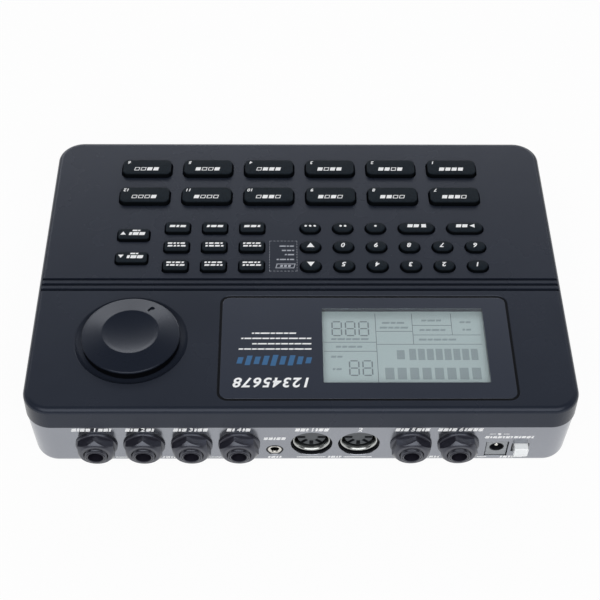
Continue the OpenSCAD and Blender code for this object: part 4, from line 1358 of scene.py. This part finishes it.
def table_finish():
    material = bpy.data.materials.new("white_table")
    material.use_nodes = True
    tree = material.node_tree
    ray = add(tree, "LightPath").outputs
    either = add(tree, "Math", {0: ray["Is Camera Ray"], 1: ray["Is Glossy Ray"]}, operation="MAXIMUM")
    any_ray = add(tree, "Math", {0: either, 1: ray["Is Transmission Ray"]}, operation="MAXIMUM")
    share = add(tree, "Math", {0: any_ray, 1: TABLE_GLOW}, operation="MULTIPLY")
    shader = plug(tree, tree.nodes["Principled BSDF"], {"Base Color": TABLE_TONE, "Roughness": 0.9})
    glow = add(tree, "Emission", {"Color": (1, 1, 1, 1), "Strength": 1.0})
    mix = add(tree, "MixShader", {0: share, 1: shader, 2: glow})
    plug(tree, tree.nodes["Material Output"], {"Surface": mix})
    return material


half_table = TABLE_SIZE / 2
table_mesh = bpy.data.meshes.new("table")
table_mesh.from_pydata([(x * half_table, y * half_table, 0) for x, y in ((-1, -1), (1, -1), (1, 1), (-1, 1))], [],
                       [(0, 1, 2, 3)])
table_mesh.materials.append(table_finish())
in_scene("table", table_mesh)
print("table:", TABLE_SIZE, "m wide")


# %% The world's light
FRONT_SKY = ((0.0, 0.9), (0.55, 0.95), (0.64, 0.68), (0.72, 0.2), (1.0, 0.12))
REAR_SKY = ((0.0, 0.1), (0.3, 0.12), (0.5, 0.5), (1.0, 0.12))
SKY_TINT = (0.99, 1.0, 1.02)
FRONT_TO_REAR = (-0.25, 0.35)
MIDDLE_TO_SIDE = (0.35, 0.8)
SIDE_LEVEL = 0.4


def sky_ramp(tree, height, levels):
    """Brightness by height above the horizon."""
    ramp = add(tree, "ValToRGB", {0: height})
    stops = ramp.color_ramp.elements
    for position, _ in levels[1:-1]:
        stops.new(position)
    for stop, (_, level) in zip(stops, levels):
        stop.color = [level * part for part in SKY_TINT] + [1]
    return ramp


def build_world():
    world = bpy.data.worlds.new("studio")
    world.use_nodes = True
    tree = world.node_tree
    parts = add(tree, "SeparateXYZ", {0: add(tree, "TexCoord").outputs["Generated"]}).outputs
    rear = add(tree, "MapRange", {"Value": parts["Y"], "From Min": FRONT_TO_REAR[0], "From Max": FRONT_TO_REAR[1]},
               interpolation_type="SMOOTHSTEP")
    front = add(tree, "Math", {0: 1.0, 1: rear}, operation="SUBTRACT")
    both = add(tree, "VectorMath", {0: scaled(tree, sky_ramp(tree, parts["Z"], FRONT_SKY), front),
                                    1: scaled(tree, sky_ramp(tree, parts["Z"], REAR_SKY), rear)}, operation="ADD")
    aside = add(tree, "Math", {0: parts["X"]}, operation="ABSOLUTE")
    middle = add(tree, "MapRange", {"Value": aside, "From Min": MIDDLE_TO_SIDE[0],
                                    "From Max": MIDDLE_TO_SIDE[1], "To Min": 1.0, "To Max": SIDE_LEVEL},
                 interpolation_type="SMOOTHSTEP")
    plug(tree, tree.nodes["Background"], {"Color": scaled(tree, both, middle), "Strength": 1.0})
    return world


bpy.context.scene.world = build_world()
print("world:", bpy.context.scene.world.name)


# %% Lamps
def softbox(name, place, aim, size, power):
    """A rectangular lamp that looks at a point; places are in metres."""
    lamp = bpy.data.lights.new(name, "AREA")
    lamp.shape = "RECTANGLE"
    lamp.size, lamp.size_y = size
    lamp.energy = power
    box = in_scene(name, lamp)
    box.location = place
    box.rotation_euler = (Vector(aim) - Vector(place)).to_track_quat("-Z", "Y").to_euler()


softbox("front_softbox", (0.1, -1.62, 0.7), (0, 0, 0.03), (2.2, 0.36), 9)
softbox("rear_softbox", (0.0, 1.15, 1.2), (0, 0, 0.03), (2.6, 1.4), 25)
print("lamps:", len(bpy.data.lights))

# %% The camera
EYE = Vector((8.281, 405.49, 542.535))
AIM = Vector((-0.31, -8.884, 0.66))
ROLL = radians(0.94)
camera_data = bpy.data.cameras.new("camera")
camera_data.lens = 85.552
camera_data.sensor_width = 36.0
camera_data.clip_start = 0.05
camera = in_scene("camera", camera_data)
looking = (AIM - EYE).to_track_quat("-Z", "Y").to_matrix().to_4x4()
camera.matrix_world = Matrix.Translation(EYE * MM) @ looking @ Matrix.Rotation(ROLL, 4, "Z")
bpy.context.scene.camera = camera
bpy.context.scene.view_settings.view_transform = "Standard"
print(f"camera {(EYE - AIM).length:.0f} mm from its aim")
